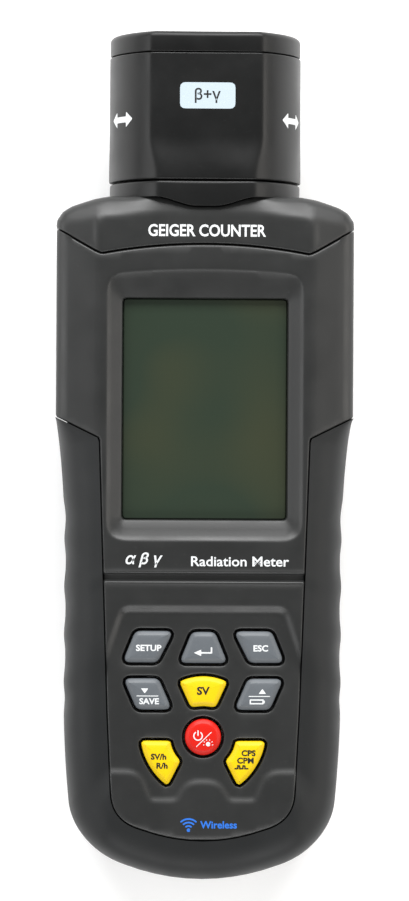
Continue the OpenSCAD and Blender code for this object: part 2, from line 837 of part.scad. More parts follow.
module selector_drum() {
    color([0.19, 0.195, 0.19]) difference() {
        on_axis(drum_y) linear_extrude(drum_h) drum_outline();
        on_axis(drum_y - 1) cylinder(r = hub_r + running_fit, h = drum_h + 2);
        on_axis(plate_y - 0.4) cylinder(r = shoulder_r, h = 10);
        for (a = [60, 180, 300]) {
            on_axis(detent_y) rotate(a) rotate([90, 0, 0]) translate([0, 0, ball_at])
                sphere(ball_r + 0.4);
            on_axis(lid_y - 8) at_angle(a, lid_screw_at) cylinder(r = 1.25, h = 9);
        }
    }
}

module selector_lid() {
    color([0.17, 0.17, 0.165]) on_axis(lid_y) difference() {
        intersection() {
            linear_extrude(lid_h) drum_outline(0.2);
            rotate_extrude($fn = 96) {
                square([drum_r - lid_edge, lid_h]);
                square([drum_r, lid_h - lid_edge]);
                translate([drum_r - lid_edge, lid_h - lid_edge]) circle(lid_edge);
            }
        }
        translate([0, 0, -1]) cylinder(r = shoulder_r, h = lid_h - lid_roof + 1);
        for (a = [0, 120, 240]) at_angle(a, tube_off) cylinder(r = window_r, h = lid_h + 1);
        for (a = [60, 180, 300]) at_angle(a, lid_screw_at) {
            translate([0, 0, -1]) cylinder(r = 1.25, h = lid_h + 2);
            translate([0, 0, lid_h - 1.6]) cylinder(r = 2, h = 2);
        }
    }
}

module filter_disc() {
    color([0.7, 0.7, 0.71]) on_axis(lid_y + lid_h - lid_roof - 1.6) difference() {
        cylinder(r = shoulder_r - 0.2, h = 1.6);
        for (a = [0, 120, 240]) at_angle(a, tube_off) translate([0, 0, -1])
            cylinder(r = window_r + 0.3, h = 4);
    }
}

// Places a filter in one of the disc's three holes
module in_disc(angle, depth) {
    on_axis(lid_y + lid_h - lid_roof - depth) at_angle(angle, tube_off) children();
}

module alpha_grille() {
    color([0.78, 0.78, 0.76]) in_disc(0, 0.9) difference() {
        cylinder(r = window_r + 0.3, h = 0.5);
        for (ix = [-3:3]) for (iy = [-3:3])
            if (norm([ix, iy]) < 3.3) translate([ix * 1.7 - 0.65, iy * 1.7 - 0.65, -1])
                cube([1.3, 1.3, 3]);
    }
}

module beta_foil() {
    color([0.85, 0.85, 0.87]) in_disc(120, 0.8) cylinder(r = window_r + 0.3, h = 0.4);
}

module gamma_shield() {
    color([0.45, 0.45, 0.47]) in_disc(240, 1.5) cylinder(r = window_r + 0.3, h = 1.5);
}

module lid_screws() {
    color([0.6, 0.6, 0.62]) for (a = [60, 180, 300])
        on_axis(lid_y + lid_h - 1.6) at_angle(a, lid_screw_at) rotate([180, 0, 0])
            screw(1.8, 1.3, 1.2, 11);
}

// ---- Keys ----

module rounded(points) {
    offset(r = key_round, $fn = 24) offset(delta = -key_round) polygon(points);
}

// Leaf-shaped key beside the power key: hollow towards it, full on the outside
module leaf(side) {
    inner = [for (a = [7:8:47]) [power_at[0] - 8.45 * cos(a), power_at[1] - 8.45 * sin(a)]];
    outer = curve_points([[-9, -52.6], [-11.5, -51.2], [-15.4, -46.5], [-16, -41.1]]);
    scale([side, 1]) rounded(concat(inner, outer));
}

function curve_points(p) = [for (t = [0:0.125:1]) curve(p, t)];

module arched_key() {
    top = [for (t = [-1:0.25:1]) [6.2 * t, -24.5 - 1.4 * t * t]];
    rounded(concat([[3.2, -32.5], [0, -32.1], [-3.2, -32.5]], top));
}

// Outline of one key, numbered in rows from the top left
module key_outline(i) {
    if (i == 0) rounded(SLANT_LEFT);
    if (i == 1) rounded(WEDGE_MIDDLE);
    if (i == 2) rounded(SLANT_RIGHT);
    if (i == 3) rounded(LOW_LEFT);
    if (i == 4) arched_key();
    if (i == 5) rounded(LOW_RIGHT);
    if (i == 6) translate(power_at) circle(power_r);
    if (i == 7) leaf(1);
    if (i == 8) mirror([1, 0]) leaf(1);
}

module key(i) {
    translate([0, keypad_y, 0]) {
        translate([0, 0, flange_top - flange_t]) linear_extrude(key_top - flange_top + flange_t)
            key_outline(i);
        translate([0, 0, flange_top - flange_t]) linear_extrude(flange_t)
            offset(r = flange_w, $fn = 24) key_outline(i);
        translate([KEY_CENTRES[i][0], KEY_CENTRES[i][1], stem_end])
            cylinder(r = stem_r, h = flange_top - flange_t - stem_end + 1);
    }
}

module setup_key() { color([0.43, 0.45, 0.47]) key(0); }
module enter_key() { color([0.43, 0.45, 0.47]) key(1); }
module escape_key() { color([0.43, 0.45, 0.47]) key(2); }
module down_key() { color([0.43, 0.45, 0.47]) key(3); }
module sievert_key() { color([0.98, 0.89, 0.13]) key(4); }
module up_key() { color([0.43, 0.45, 0.47]) key(5); }
module power_key() { color([0.85, 0.2, 0.13]) key(6); }
module dose_unit_key() { color([0.98, 0.89, 0.13]) key(7); }
module count_key() { color([0.98, 0.89, 0.13]) key(8); }

rear_case();
front_case();
head_cover();
rubber_boot();
case_gasket();
case_screws();
tripod_insert();
lcd_window();
lcd_frame();
lcd_glass();
lcd_backlight();
lcd_connector();
main_board();
board_screws();
processor_chip();
hv_transformer();
hv_capacitor();
wireless_module();
buzzer();
usb_socket();
dome_switches();
keypad_mat();
battery_box();
batteries();
battery_springs();
battery_plates();
battery_wires();
battery_door();
battery_door_screw();
tube_hub();
tube_grommet();
gm_tube();
tube_window();
anode_clip();
tube_leads();
retaining_plate();
retaining_screws();
detent_spring();
detent_ball();
selector_drum();
selector_lid();
filter_disc();
alpha_grille();
beta_foil();
gamma_shield();
lid_screws();
setup_key();
enter_key();
escape_key();
down_key();
sievert_key();
up_key();
power_key();
dose_unit_key();
count_key();
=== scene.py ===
import json
import math

import bpy
import numpy as np
from mathutils import Matrix, Vector
from mathutils.geometry import delaunay_2d_cdt


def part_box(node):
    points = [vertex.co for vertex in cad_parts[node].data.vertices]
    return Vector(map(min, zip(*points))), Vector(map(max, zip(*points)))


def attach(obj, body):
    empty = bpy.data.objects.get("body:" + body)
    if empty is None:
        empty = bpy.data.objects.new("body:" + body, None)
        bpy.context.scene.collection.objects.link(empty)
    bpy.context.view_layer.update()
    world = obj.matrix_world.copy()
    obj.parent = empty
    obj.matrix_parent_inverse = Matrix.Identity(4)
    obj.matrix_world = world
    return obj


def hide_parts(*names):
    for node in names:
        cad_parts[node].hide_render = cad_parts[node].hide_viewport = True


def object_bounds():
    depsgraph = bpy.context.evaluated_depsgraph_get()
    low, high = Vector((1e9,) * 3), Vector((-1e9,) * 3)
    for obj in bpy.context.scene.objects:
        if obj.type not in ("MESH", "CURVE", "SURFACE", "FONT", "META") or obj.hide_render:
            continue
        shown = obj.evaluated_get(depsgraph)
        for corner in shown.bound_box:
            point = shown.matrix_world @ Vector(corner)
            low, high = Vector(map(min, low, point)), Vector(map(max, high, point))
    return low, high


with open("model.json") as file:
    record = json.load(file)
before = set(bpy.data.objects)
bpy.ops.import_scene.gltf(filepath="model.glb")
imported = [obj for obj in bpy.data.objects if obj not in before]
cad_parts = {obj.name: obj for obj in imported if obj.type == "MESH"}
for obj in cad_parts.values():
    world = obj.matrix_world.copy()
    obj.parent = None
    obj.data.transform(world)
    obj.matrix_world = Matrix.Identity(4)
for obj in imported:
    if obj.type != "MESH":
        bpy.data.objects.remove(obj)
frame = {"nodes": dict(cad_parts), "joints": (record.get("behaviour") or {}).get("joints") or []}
cad_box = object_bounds()

# ---- Table, camera and lights ----
# The meter lies on its back on a white table, seen from straight above. A long soft light stands
# past its head, weaker ones past its foot and sides, and the sky over the camera stays dark.
MM = 0.001
low = np.array(cad_box[0]) / MM


class Surface:
    """A material in the making, in Object coordinates. Its methods add nodes, and hand back
    the socket that carries the result."""

    def __init__(self, name):
        self.material = bpy.data.materials.new(name)
        self.material.use_nodes = True
        self.nodes, self.links = self.material.node_tree.nodes, self.material.node_tree.links
        self.inputs = self.nodes["Principled BSDF"].inputs
        self.place = self.nodes.new("ShaderNodeTexCoord").outputs["Object"]

    def noise(self, scale, detail=2, place=None):
        """Cloudy noise with so many cells a metre."""
        node = self.nodes.new("ShaderNodeTexNoise")
        node.inputs["Scale"].default_value = scale
        node.inputs["Detail"].default_value = detail
        self.links.new(place or self.place, node.inputs["Vector"])
        return node.outputs["Fac"]

    def spread(self, source, low_in, high_in, low_out, high_out):
        """A value mapped from one range to another, and held at its ends."""
        node = self.nodes.new("ShaderNodeMapRange")
        node.inputs["From Min"].default_value = low_in
        node.inputs["From Max"].default_value = high_in
        node.inputs["To Min"].default_value = low_out
        node.inputs["To Max"].default_value = high_out
        self.links.new(source, node.inputs["Value"])
        return node.outputs["Result"]

    def mix(self, amount, first, second, mode="MIX"):
        """Two colours, or sockets, mixed by an amount."""
        node = self.nodes.new("ShaderNodeMix")
        node.data_type = "RGBA"
        node.blend_type = mode
        for slot, value in ((0, amount), (6, first), (7, second)):
            if isinstance(value, tuple):
                node.inputs[slot].default_value = (*value, 1)
            elif isinstance(value, (int, float)):
                node.inputs[slot].default_value = value
            else:
                self.links.new(value, node.inputs[slot])
        return node.outputs[2]

    def drive(self, name, source):
        """Feeds one of the shader's own sockets."""
        self.links.new(source, self.inputs[name])

    def bump(self, source, strength, depth_mm):
        """Raises the surface by a height pattern."""
        node = self.nodes.new("ShaderNodeBump")
        node.inputs["Strength"].default_value = strength
        node.inputs["Distance"].default_value = depth_mm * MM
        self.links.new(source, node.inputs["Height"])
        self.drive("Normal", node.outputs["Normal"])


def times(colour, factor, lift=0.0):
    """A colour made darker or paler."""
    return tuple(c * factor + lift for c in colour)


def table_paint(colour, rough, glow):
    """Pale paint whose colour drifts a little over a metre, lifted by a faint glow."""
    look = Surface("table_paint")
    look.inputs["Roughness"].default_value = rough
    look.inputs["Emission Color"].default_value = (1, 1, 1, 1)
    look.inputs["Emission Strength"].default_value = glow
    look.drive("Base Color", look.mix(look.noise(6), times(colour, 0.985), colour))
    return look.material


def flat_grid(name, half, z, material):
    """A level square sheet of side 2 * half at height z."""
    mesh = bpy.data.meshes.new(name)
    mesh.from_pydata([(-half, -half, z), (half, -half, z), (half, half, z), (-half, half, z)],
                     [], [(0, 1, 2, 3)])
    mesh.materials.append(material)
    sheet = bpy.data.objects.new(name, mesh)
    bpy.context.collection.objects.link(sheet)
    return sheet


table = flat_grid("table_top", 3.0, low[2] * MM - 0.0002,
                  table_paint((0.93, 0.93, 0.93), rough=0.9, glow=0.14))

EYE_HEIGHT = 1.0
EYE_SIDE = -0.020
VIEW_HEIGHT = 0.2352
AIM = Vector((0.0003, 0.00195, 0.028))
ROLL = math.radians(0.32)
eye = bpy.data.cameras.new("camera")
eye.sensor_fit = "VERTICAL"
eye.sensor_height = 24
eye.lens = 24 * (EYE_HEIGHT - AIM.z) / VIEW_HEIGHT
eye.clip_start = 0.01
camera = bpy.data.objects.new("camera", eye)
bpy.context.collection.objects.link(camera)
camera.location = (EYE_SIDE, AIM.y, EYE_HEIGHT)
lean = math.atan2(AIM.x - EYE_SIDE, EYE_HEIGHT - AIM.z)
camera.rotation_euler = (Matrix.Rotation(-lean, 3, "Y") @ Matrix.Rotation(ROLL, 3, "Z")).to_euler()
bpy.context.scene.camera = camera


def softbox(name, place, size, power, colour=(1, 1, 1)):
    """A rectangular light at a place, turned to face the meter."""
    lamp = bpy.data.lights.new(name, "AREA")
    lamp.shape = "RECTANGLE"
    lamp.size, lamp.size_y = size
    lamp.energy = power
    lamp.color = colour
    light = bpy.data.objects.new(name, lamp)
    bpy.context.collection.objects.link(light)
    light.location = place
    light.rotation_euler = (Vector((0, 0, 0.02)) - light.location).to_track_quat("-Z", "Y").to_euler()


softbox("light_head", (0, 1.1, 0.75), (1.6, 0.55), 34)
softbox("light_foot", (0, -1.15, 0.7), (1.6, 0.5), 13)
softbox("light_left", (-1.2, 0, 0.6), (1.6, 0.6), 9)
softbox("light_right", (1.2, 0, 0.6), (1.6, 0.6), 9.5, (1.0, 0.96, 0.91))
world = bpy.data.worlds.new("room")
world.use_nodes = True
world.node_tree.nodes["Background"].inputs["Color"].default_value = (1, 1, 1, 1)
world.node_tree.nodes["Background"].inputs["Strength"].default_value = 0.22
bpy.context.scene.world = world
bpy.context.scene.view_settings.view_transform = "Standard"

# ---- Front of the case ----
# One moulding of dark ABS with a fine spark texture: flat face, two sloping side facets, a sunk
# display bezel, a groove and a sunk keypad. It is screwed down on the rear half from behind.


def moulded(name, colour, rough, grain=0.9, grain_depth=0.012, wear=0.25, cloud=0.08, shine=0.5):
    """Textured plastic: fine grain in the bump, slow colour and gloss drift, paler worn edges."""
    look = Surface(name)
    fine = look.noise(1000 / grain, 3)
    slow = look.noise(1000 / 38)
    body = look.mix(look.spread(slow, 0.3, 0.7, 0, 1), times(colour, 1 - cloud), times(colour, 1 + cloud))
    speck = look.mix(look.spread(fine, 0.62, 0.78, 0, 0.30), body, times(colour, 1.6, 0.01))
    edge = look.nodes.new("ShaderNodeNewGeometry").outputs["Pointiness"]
    worn = look.mix(look.spread(edge, 0.53, 0.62, 0, wear), speck, times(colour, 1.9, 0.02))
    look.drive("Base Color", worn)
    look.inputs["Specular IOR Level"].default_value = shine
    look.drive("Roughness", look.spread(look.noise(1000 / 9, 4), 0.3, 0.7, rough - 0.05, rough + 0.05))
    look.bump(fine, 0.35, grain_depth)
    return look.material


def add_piece(name, points_mm, faces, material, sharp=35):
    """A smooth mesh from points in mm and faces; edges sharper than the angle stay crisp."""
    mesh = bpy.data.meshes.new(name)
    mesh.from_pydata((np.asarray(points_mm, float) * MM).tolist(), [], faces)
    mesh.validate()
    mesh.shade_smooth()
    mesh.set_sharp_from_angle(angle=math.radians(sharp))
    mesh.materials.append(material)
    piece = bpy.data.objects.new(name, mesh)
    bpy.context.collection.objects.link(piece)
    return piece


def rounded(corners, radius, steps=6):
    """Each corner becomes a curve: (1-t)^2 a + 2t(1-t) p + t^2 b, from one edge to the next."""
    p = np.asarray(corners, float)
    reach = np.broadcast_to(np.asarray(radius, float), len(p))[:, None]
    before, after = np.roll(p, 1, 0) - p, np.roll(p, -1, 0) - p
    size_b = np.linalg.norm(before, axis=1, keepdims=True)
    size_a = np.linalg.norm(after, axis=1, keepdims=True)
    a = p + before / size_b * np.minimum(reach, size_b * 0.49)
    b = p + after / size_a * np.minimum(reach, size_a * 0.49)
    t = np.linspace(0, 1, steps)[None, :, None]
    curve = (1 - t) ** 2 * a[:, None] + 2 * t * (1 - t) * p[:, None] + t ** 2 * b[:, None]
    return curve.reshape(-1, 2)


def even(outline, step):
    """The same closed line with its points spread evenly, about a step apart."""
    p = np.vstack([outline, outline[:1]])
    gap = np.linalg.norm(np.diff(p, axis=0), axis=1)
    run = np.concatenate([[0], np.cumsum(gap)])
    at = np.linspace(0, run[-1], int(round(run[-1] / step)), endpoint=False)
    return np.column_stack([np.interp(at, run, p[:, 0]), np.interp(at, run, p[:, 1])])


def offset_line(outline, distance):
    """The closed line moved sideways along its own normals; positive goes inwards."""
    along = np.roll(outline, -1, 0) - np.roll(outline, 1, 0)
    along /= np.linalg.norm(along, axis=1, keepdims=True) + 1e-9
    x, y = outline.T
    turn = np.sign(np.sum(x * np.roll(y, -1) - np.roll(x, -1) * y))
    return outline + turn * distance * np.column_stack([-along[:, 1], along[:, 0]])


def depth_inside(points, outline):
    """Distance from each point to a closed line, positive inside it and negative outside."""
    a, b = outline, np.roll(outline, -1, 0)
    result = np.empty(len(points))
    for start in range(0, len(points), 4000):
        p = points[start:start + 4000, None]
        edge = b - a
        share = ((p - a) * edge).sum(2) / ((edge ** 2).sum(1) + 1e-12)
        near = a + np.clip(share, 0, 1)[..., None] * edge
        distance = np.sqrt(((p - near) ** 2).sum(2)).min(1)
        crosses = (a[:, 1] > p[..., 1]) != (b[:, 1] > p[..., 1])
        reach = a[:, 0] + (p[..., 1] - a[:, 1]) * edge[:, 0] / np.where(edge[:, 1] == 0, 1e-12, edge[:, 1])
        inside = (crosses & (p[..., 0] < reach)).sum(1) % 2 == 1
        result[start:start + 4000] = np.where(inside, distance, -distance)
    return result


def smooth(x):
    """0 below 0, 1 above 1, and an S-curve between."""
    x = np.clip(x, 0, 1)
    return x * x * (3 - 2 * x)


def fillet(distance, radius):
    """How far a rounded edge of this radius drops at a distance in from the edge."""
    d = np.clip(radius - distance, 0, radius)
    return radius - np.sqrt(np.maximum(radius ** 2 - d ** 2, 0))


def relief(name, outline, holes, guides, top, under, material, step=1.6):
    """A plate cut to an outline with holes: its face is z = top(x, y), its back z = under(x, y).
    Points lie on a grid and along the guide lines, joined by a Delaunay net."""
    low_xy, high_xy = outline.min(0), outline.max(0)
    grid = np.stack(np.meshgrid(np.arange(low_xy[0], high_xy[0], step),
                                np.arange(low_xy[1], high_xy[1], step)), -1).reshape(-1, 2)
    lines = [outline, *holes, *guides]
    clear = np.min([np.abs(depth_inside(grid, line)) for line in lines], axis=0) > step * 0.3
    grid = grid[clear & (depth_inside(grid, outline) > 0)]
    points = np.vstack([*lines, grid])
    edges, start = [], 0
    for line in lines:
        ring = np.arange(len(line)) + start
        edges += np.column_stack([ring, np.roll(ring, -1)]).tolist()
        start += len(line)
    net = delaunay_2d_cdt([Vector(p) for p in points], edges, [], 0, 1e-5)
    flat = np.array([tuple(v) for v in net[0]])
    tri = np.array([f for f in net[2] if len(f) == 3])
    centre = flat[tri].mean(1)
    keep = depth_inside(centre, outline) > 0
    for hole in holes:
        keep &= depth_inside(centre, hole) < 0
    tri = tri[keep]
    ab, ac = flat[tri[:, 1]] - flat[tri[:, 0]], flat[tri[:, 2]] - flat[tri[:, 0]]
    wrong = ab[:, 0] * ac[:, 1] - ab[:, 1] * ac[:, 0] < 0
    tri[wrong] = tri[wrong][:, ::-1]
    used, tri = np.unique(tri, return_inverse=True)
    tri = tri.reshape(-1, 3)
    flat = flat[used]
    count = len(flat)
    face = np.column_stack([flat, top(flat)])
    back = np.column_stack([flat, under(flat)])
    sides = np.concatenate([tri[:, [0, 1]], tri[:, [1, 2]], tri[:, [2, 0]]])
    code = sides[:, 0] * count + sides[:, 1]
    twin = sides[:, 1] * count + sides[:, 0]
    rim = sides[~np.isin(code, twin)]
    wall = np.column_stack([rim[:, 1], rim[:, 0], rim[:, 0] + count, rim[:, 1] + count])
    faces = tri.tolist() + (tri[:, ::-1] + count).tolist() + wall.tolist()
    return add_piece(name, np.vstack([face, back]), faces, material)


def mirrored(edge):
    """Half an outline, closed by its mirror image across x = 0."""
    edge = np.asarray(edge, float)
    return np.vstack([edge, edge[::-1] * [-1, 1]])


def cubic(a, b, c, d, count):
    """Points along a cubic curve with four control points."""
    t = np.linspace(0, 1, count)[:, None]
    a, b, c, d = (np.asarray(p, float) for p in (a, b, c, d))
    return a * (1 - t) ** 3 + 3 * b * t * (1 - t) ** 2 + 3 * c * t ** 2 * (1 - t) + d * t ** 3


def level(z):
    """A height function that is z everywhere."""
    return lambda p: np.full(len(p), z)


def box_mm(node):
    """The two corners of a modelled part's box."""
    return [np.array(corner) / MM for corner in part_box(node)]


case_low, case_high = box_mm("front_case")
cover_high = box_mm("head_cover")[1]
window_low, window_high = box_mm("lcd_window")
half = case_high[0]
face_z = cover_high[2]
part_z = case_low[2]
top_y = cover_high[1]
foot_y = low[1]
boot_y = box_mm("rubber_boot")[1][1] - 0.2
pad_y = foot_y + 78.0
facet_x = half - 11.5
GAP = 0.18


def seam_arch(x):
    """The joint under the head cover: a shallow arch, then straight up to each side."""
    x = np.abs(x)
    arch = top_y - 12.3 - 2.6 * np.minimum(x / facet_x, 1) ** 2
    return arch + np.maximum(x - facet_x, 0) * 0.58


def face_height(p):
    """The bare face: flat, sloping beyond the facet lines, sinking towards the foot and head."""
    x, y = np.abs(p[:, 0]), p[:, 1]
    slope = np.maximum(x - facet_x + 1, 0)
    z = face_z - 0.36 * np.where(slope < 2, slope ** 2 / 4, slope - 1)
    z -= 0.4 * smooth((pad_y + 2 - y) / 4) + 1.2 * np.clip((pad_y - 1.5 - y) / 61, 0, 1) ** 1.3
    z -= 0.9 * smooth((foot_y + 17 - y) / 9)
    return z


panel_edge = np.vstack([
    [[half - GAP, boot_y + GAP], [half - 11.3 - GAP, boot_y - 5.5 + GAP],
     [half - 13.6 - GAP, foot_y + 44.5]],
    cubic([half - 14.6 - GAP, foot_y + 23.6], [half - 14.8 - GAP, foot_y + 18.1],
          [half - 18, foot_y + 15.3 + GAP], [half - 22.6, foot_y + 13.9 + GAP], 14),
    [[(half - 22.6) * t, foot_y + 11 + GAP + 2.9 * t * t] for t in (0.8, 0.6, 0.4, 0.2)]])
cover_x = np.linspace(0, half - GAP, 24)
cover_line = np.column_stack([cover_x, seam_arch(cover_x) - GAP])
front_outline = even(mirrored(np.vstack([cover_line[1:], panel_edge])), 0.8)

bezel_half = 25.4
bezel_top, bezel_foot = window_high[1] + 5.3, window_low[1] - 3.1
bezel_x = np.linspace(bezel_half - 4, -bezel_half + 4, 15)
bezel_left = np.vstack([
    cubic([-bezel_half + 4, bezel_top - 1.0], [-bezel_half + 1.4, bezel_top - 1.6],
          [-bezel_half, bezel_top - 2.6], [-bezel_half, bezel_top - 6], 8),
    cubic([-bezel_half, bezel_foot + 5], [-bezel_half, bezel_foot + 1.5],
          [-bezel_half + 2.2, bezel_foot], [-bezel_half + 6, bezel_foot], 8)])
bezel_arch = np.column_stack([bezel_x, bezel_top - 1.35 * (bezel_x / bezel_half) ** 2])[1:-1]
bezel = even(np.vstack([mirrored(bezel_left), bezel_arch]), 0.9)
opening_x, opening_y = 21.2, (window_high[1] - window_low[1]) / 2 - 2.4
opening_mid = (window_low[1] + window_high[1]) / 2
opening = even(rounded(mirrored([[-opening_x, opening_mid + opening_y],
                                 [-opening_x, opening_mid - opening_y]]), 1.0), 0.9)
recess_half = half - 8
recess_left = [
    [-21.9, pad_y - 5.8], [-25.2, pad_y - 15.8], [-recess_half, pad_y - 30], [-recess_half, pad_y - 50.1],
    [-17.2, pad_y - 50.3], [-14.4, pad_y - 57.6], [-5.9, pad_y - 57.6], [-3.4, pad_y - 52.8]]
recess_round = [3, 3, 3, 1.5, 2.4, 2.2, 2.2, 2.2]
recess = even(rounded(mirrored(recess_left), recess_round + recess_round[::-1]), 0.9)

# Key outlines, from the middle of the groove's lower edge; the right-hand keys mirror the left.
slant = np.array([[-17.5, -12.9], [-7.7, -12.9], [-11.8, -21.0], [-20.8, -21.0]])
lower = np.array([[-20.6, -25.1], [-11.5, -25.1], [-8.0, -33.1], [-17.1, -33.1]])
turn = np.linspace(0, 2 * np.pi, 60, endpoint=False)
bow = np.linspace(-1, 1, 9)
hollow = np.radians(np.linspace(7, 47, 9))
leaf = np.vstack([
    np.column_stack([-8.45 * np.cos(hollow), -40.1 - 8.45 * np.sin(hollow)]),
    cubic([-9, -52.6], [-11.5, -51.2], [-15.4, -46.5], [-16, -41.1], 9)])
KEY_OUTLINES = {
    "setup_key": rounded(slant, [1.3, 2.0, 1.3, 2.0]),
    "enter_key": rounded([[-3, -13.1], [2.9, -13.1], [6.2, -21.1], [-6.2, -21.1]], [1.3, 1.3, 1.8, 1.8]),
    "escape_key": rounded(slant * [-1, 1], [1.3, 2.0, 1.3, 2.0]),
    "down_key": rounded(lower, [2.0, 1.3, 2.0, 1.3]),
    "sievert_key": rounded(np.vstack([[[3.2, -32.5], [0, -32.1], [-3.2, -32.5]],
                                      np.column_stack([6.2 * bow, -24.5 - 1.4 * bow ** 2])]), 1.0),
    "up_key": rounded(lower * [-1, 1], [2.0, 1.3, 2.0, 1.3]),
    "power_key": np.column_stack([4.65 * np.cos(turn), -40.1 + 4.65 * np.sin(turn)]),
    "dose_unit_key": rounded(leaf, 1.3),
    "count_key": rounded(leaf * [-1, 1], 1.3),
}
KEY_OUTLINES = {name: even(line + [0, pad_y], 0.7) for name, line in KEY_OUTLINES.items()}
key_holes = [offset_line(line, -0.72) for line in KEY_OUTLINES.values()]
GROOVE = (pad_y - 0.2, pad_y + 2.1)


def front_height(p):
    """The face, less the bezel funnel, the groove, the sunk keypad and every rounded edge."""
    z = face_height(p)
    y = p[:, 1]
    out, within = depth_inside(p, bezel), -depth_inside(p, opening)
    funnel = np.clip(out / np.maximum(out + within, 1e-6), 0, 1)
    z -= np.where(out > 0, 0.25 * smooth(out / 0.9) + 1.9 * funnel, 0)
    z -= np.where(out > 0, 0, fillet(-out, 0.7) * 0.35) + fillet(np.maximum(within, 0), 0.5)
    across = smooth((facet_x - 0.6 - np.abs(p[:, 0])) / 0.6)
    groove = smooth((y - GROOVE[0]) / 0.5) * smooth((GROOVE[1] - y) / 0.5) * across
    ridge = np.exp(-((y - GROOVE[0] + 0.3) / 0.45) ** 2) + np.exp(-((y - GROOVE[1] - 0.3) / 0.45) ** 2)
    z += 0.18 * ridge * across - 0.9 * groove
    z -= (0.85 + 0.35 * smooth((y - pad_y + 30) / 12)) * smooth(depth_inside(p, recess) / 2.7)
    for hole in key_holes:
        z -= fillet(np.abs(depth_inside(p, hole)), 0.55)
    edge = depth_inside(p, front_outline)
    outer = np.abs(p[:, 0]) > half - 4
    z -= np.where(outer & (y > boot_y), fillet(half - np.abs(p[:, 0]), 2.4), fillet(edge, 0.7))
    return z


def front_under(p):
    """The back of the shell: a 2.4 mm skirt down to the joint at the sides, open between."""
    skirt = (half - np.abs(p[:, 0]) < 2.0) & (p[:, 1] > boot_y)
    return np.where(skirt, part_z, face_z - 5)


case_plastic = moulded("case_plastic", (0.0145, 0.0152, 0.0150), 0.42)
guides = [offset_line(bezel, d) for d in (-0.9, -0.35, 0.15, 0.5)]
guides += [offset_line(opening, -0.25)]
guides += [offset_line(recess, d) for d in (0.05, 0.7, 1.35, 2.0, 2.65)]
guides += [offset_line(hole, -d) for hole in key_holes for d in (0.15, 0.45)]
guides += [offset_line(front_outline, d) for d in (0.12, 0.28, 0.5)]
guides += [np.array([[-facet_x, y], [facet_x, y], [facet_x, y + 0.02], [-facet_x, y + 0.02]])
           for y in (GROOVE[0] - 0.6, GROOVE[0] - 0.2, GROOVE[0] + 0.15, GROOVE[0] + 0.5,
                     GROOVE[1] - 0.5, GROOVE[1] - 0.15, GROOVE[1] + 0.2, GROOVE[1] + 0.6)]
front = relief("front_shell", front_outline, [opening, *key_holes], guides,
               front_height, front_under, case_plastic)
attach(front, "case")
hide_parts("front_case")

# ---- Head cover ----
# A separate ABS moulding over the sensor end, with a rounded top edge and a hollow for the
# collar's tongue. Two long screws through the rear half hold it.
seam_x = np.concatenate([-cover_x[::-1], cover_x[1:]])
shoulder = [[half, top_y - 8.2], [half - 0.35, top_y - 5.9], [half - 1.7, top_y - 4.0],
            [half - 4.0, top_y - 2.6], [half - 6.7, top_y - 1.7], [half - 10.0, top_y - 0.7],
            [half - 13.9, top_y]]
cover_outline = even(np.vstack([np.column_stack([seam_x, seam_arch(seam_x) + GAP]), mirrored(shoulder)]), 0.7)
TONGUE_HALF = 12.5
TONGUE_DROP = 2.3


def tongue_line(x):
    """Lower edge of the collar's tongue: y = top - drop * smooth(1.25 * (1 - |x| / half))."""
    return top_y - TONGUE_DROP * smooth(1.25 * (1 - np.abs(x) / TONGUE_HALF))


def cover_height(p):
    """The face carried on over the head, sloped off towards the top edge, rounded at the joint
    and hollowed for the tongue."""
    x, y = np.abs(p[:, 0]), p[:, 1]
    roll_start = top_y - 4.3 - 1.6 * (x / facet_x) ** 2
    share = np.clip((y - roll_start) / (top_y + 0.6 - roll_start), 0, 1)
    z = face_height(p) - (1.2 + 2.6 * smooth((x - 9) / 16)) * share ** 1.2
    bead = np.exp(-((x - facet_x - 0.2) / 0.8) ** 2) * smooth((roll_start + 0.8 - y) / 2.5)
    z += 0.32 * bead * smooth((y - top_y + 14) / 3)
    edge = depth_inside(p, cover_outline)
    near_joint = y < top_y - 7.5
    z -= np.where(near_joint & (edge < half - x + 0.2), fillet(edge, 0.45), 0)
    z -= fillet(half - x, 2.4) + np.where(y > top_y - 6, fillet(edge, 0.5 + 0.9 * smooth((x - 11) / 8)), 0)
    past = y - tongue_line(p[:, 0])
    z = np.where(x < TONGUE_HALF - 1, z - 3.0 * smooth((past + 0.45) / 0.4) - fillet(-past - 0.3, 0.5), z)
    return np.maximum(z, part_z + 10)


tongue_x = np.linspace(-TONGUE_HALF + 1.5, TONGUE_HALF - 1.5, 40)
tongue_rings = [np.vstack([np.column_stack([tongue_x, tongue_line(tongue_x) - d]),
                           np.column_stack([tongue_x[::-1], tongue_line(tongue_x[::-1]) - d - 0.02])])
                for d in (0.05, 0.4, 0.7)]
cover_guides = [offset_line(cover_outline, d) for d in (0.15, 0.3, 0.5, 1.0)] + tongue_rings
cover = relief("head_shell", cover_outline, [], cover_guides, cover_height,
               level(part_z), case_plastic, step=1.0)
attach(cover, "case")
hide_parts("head_cover")

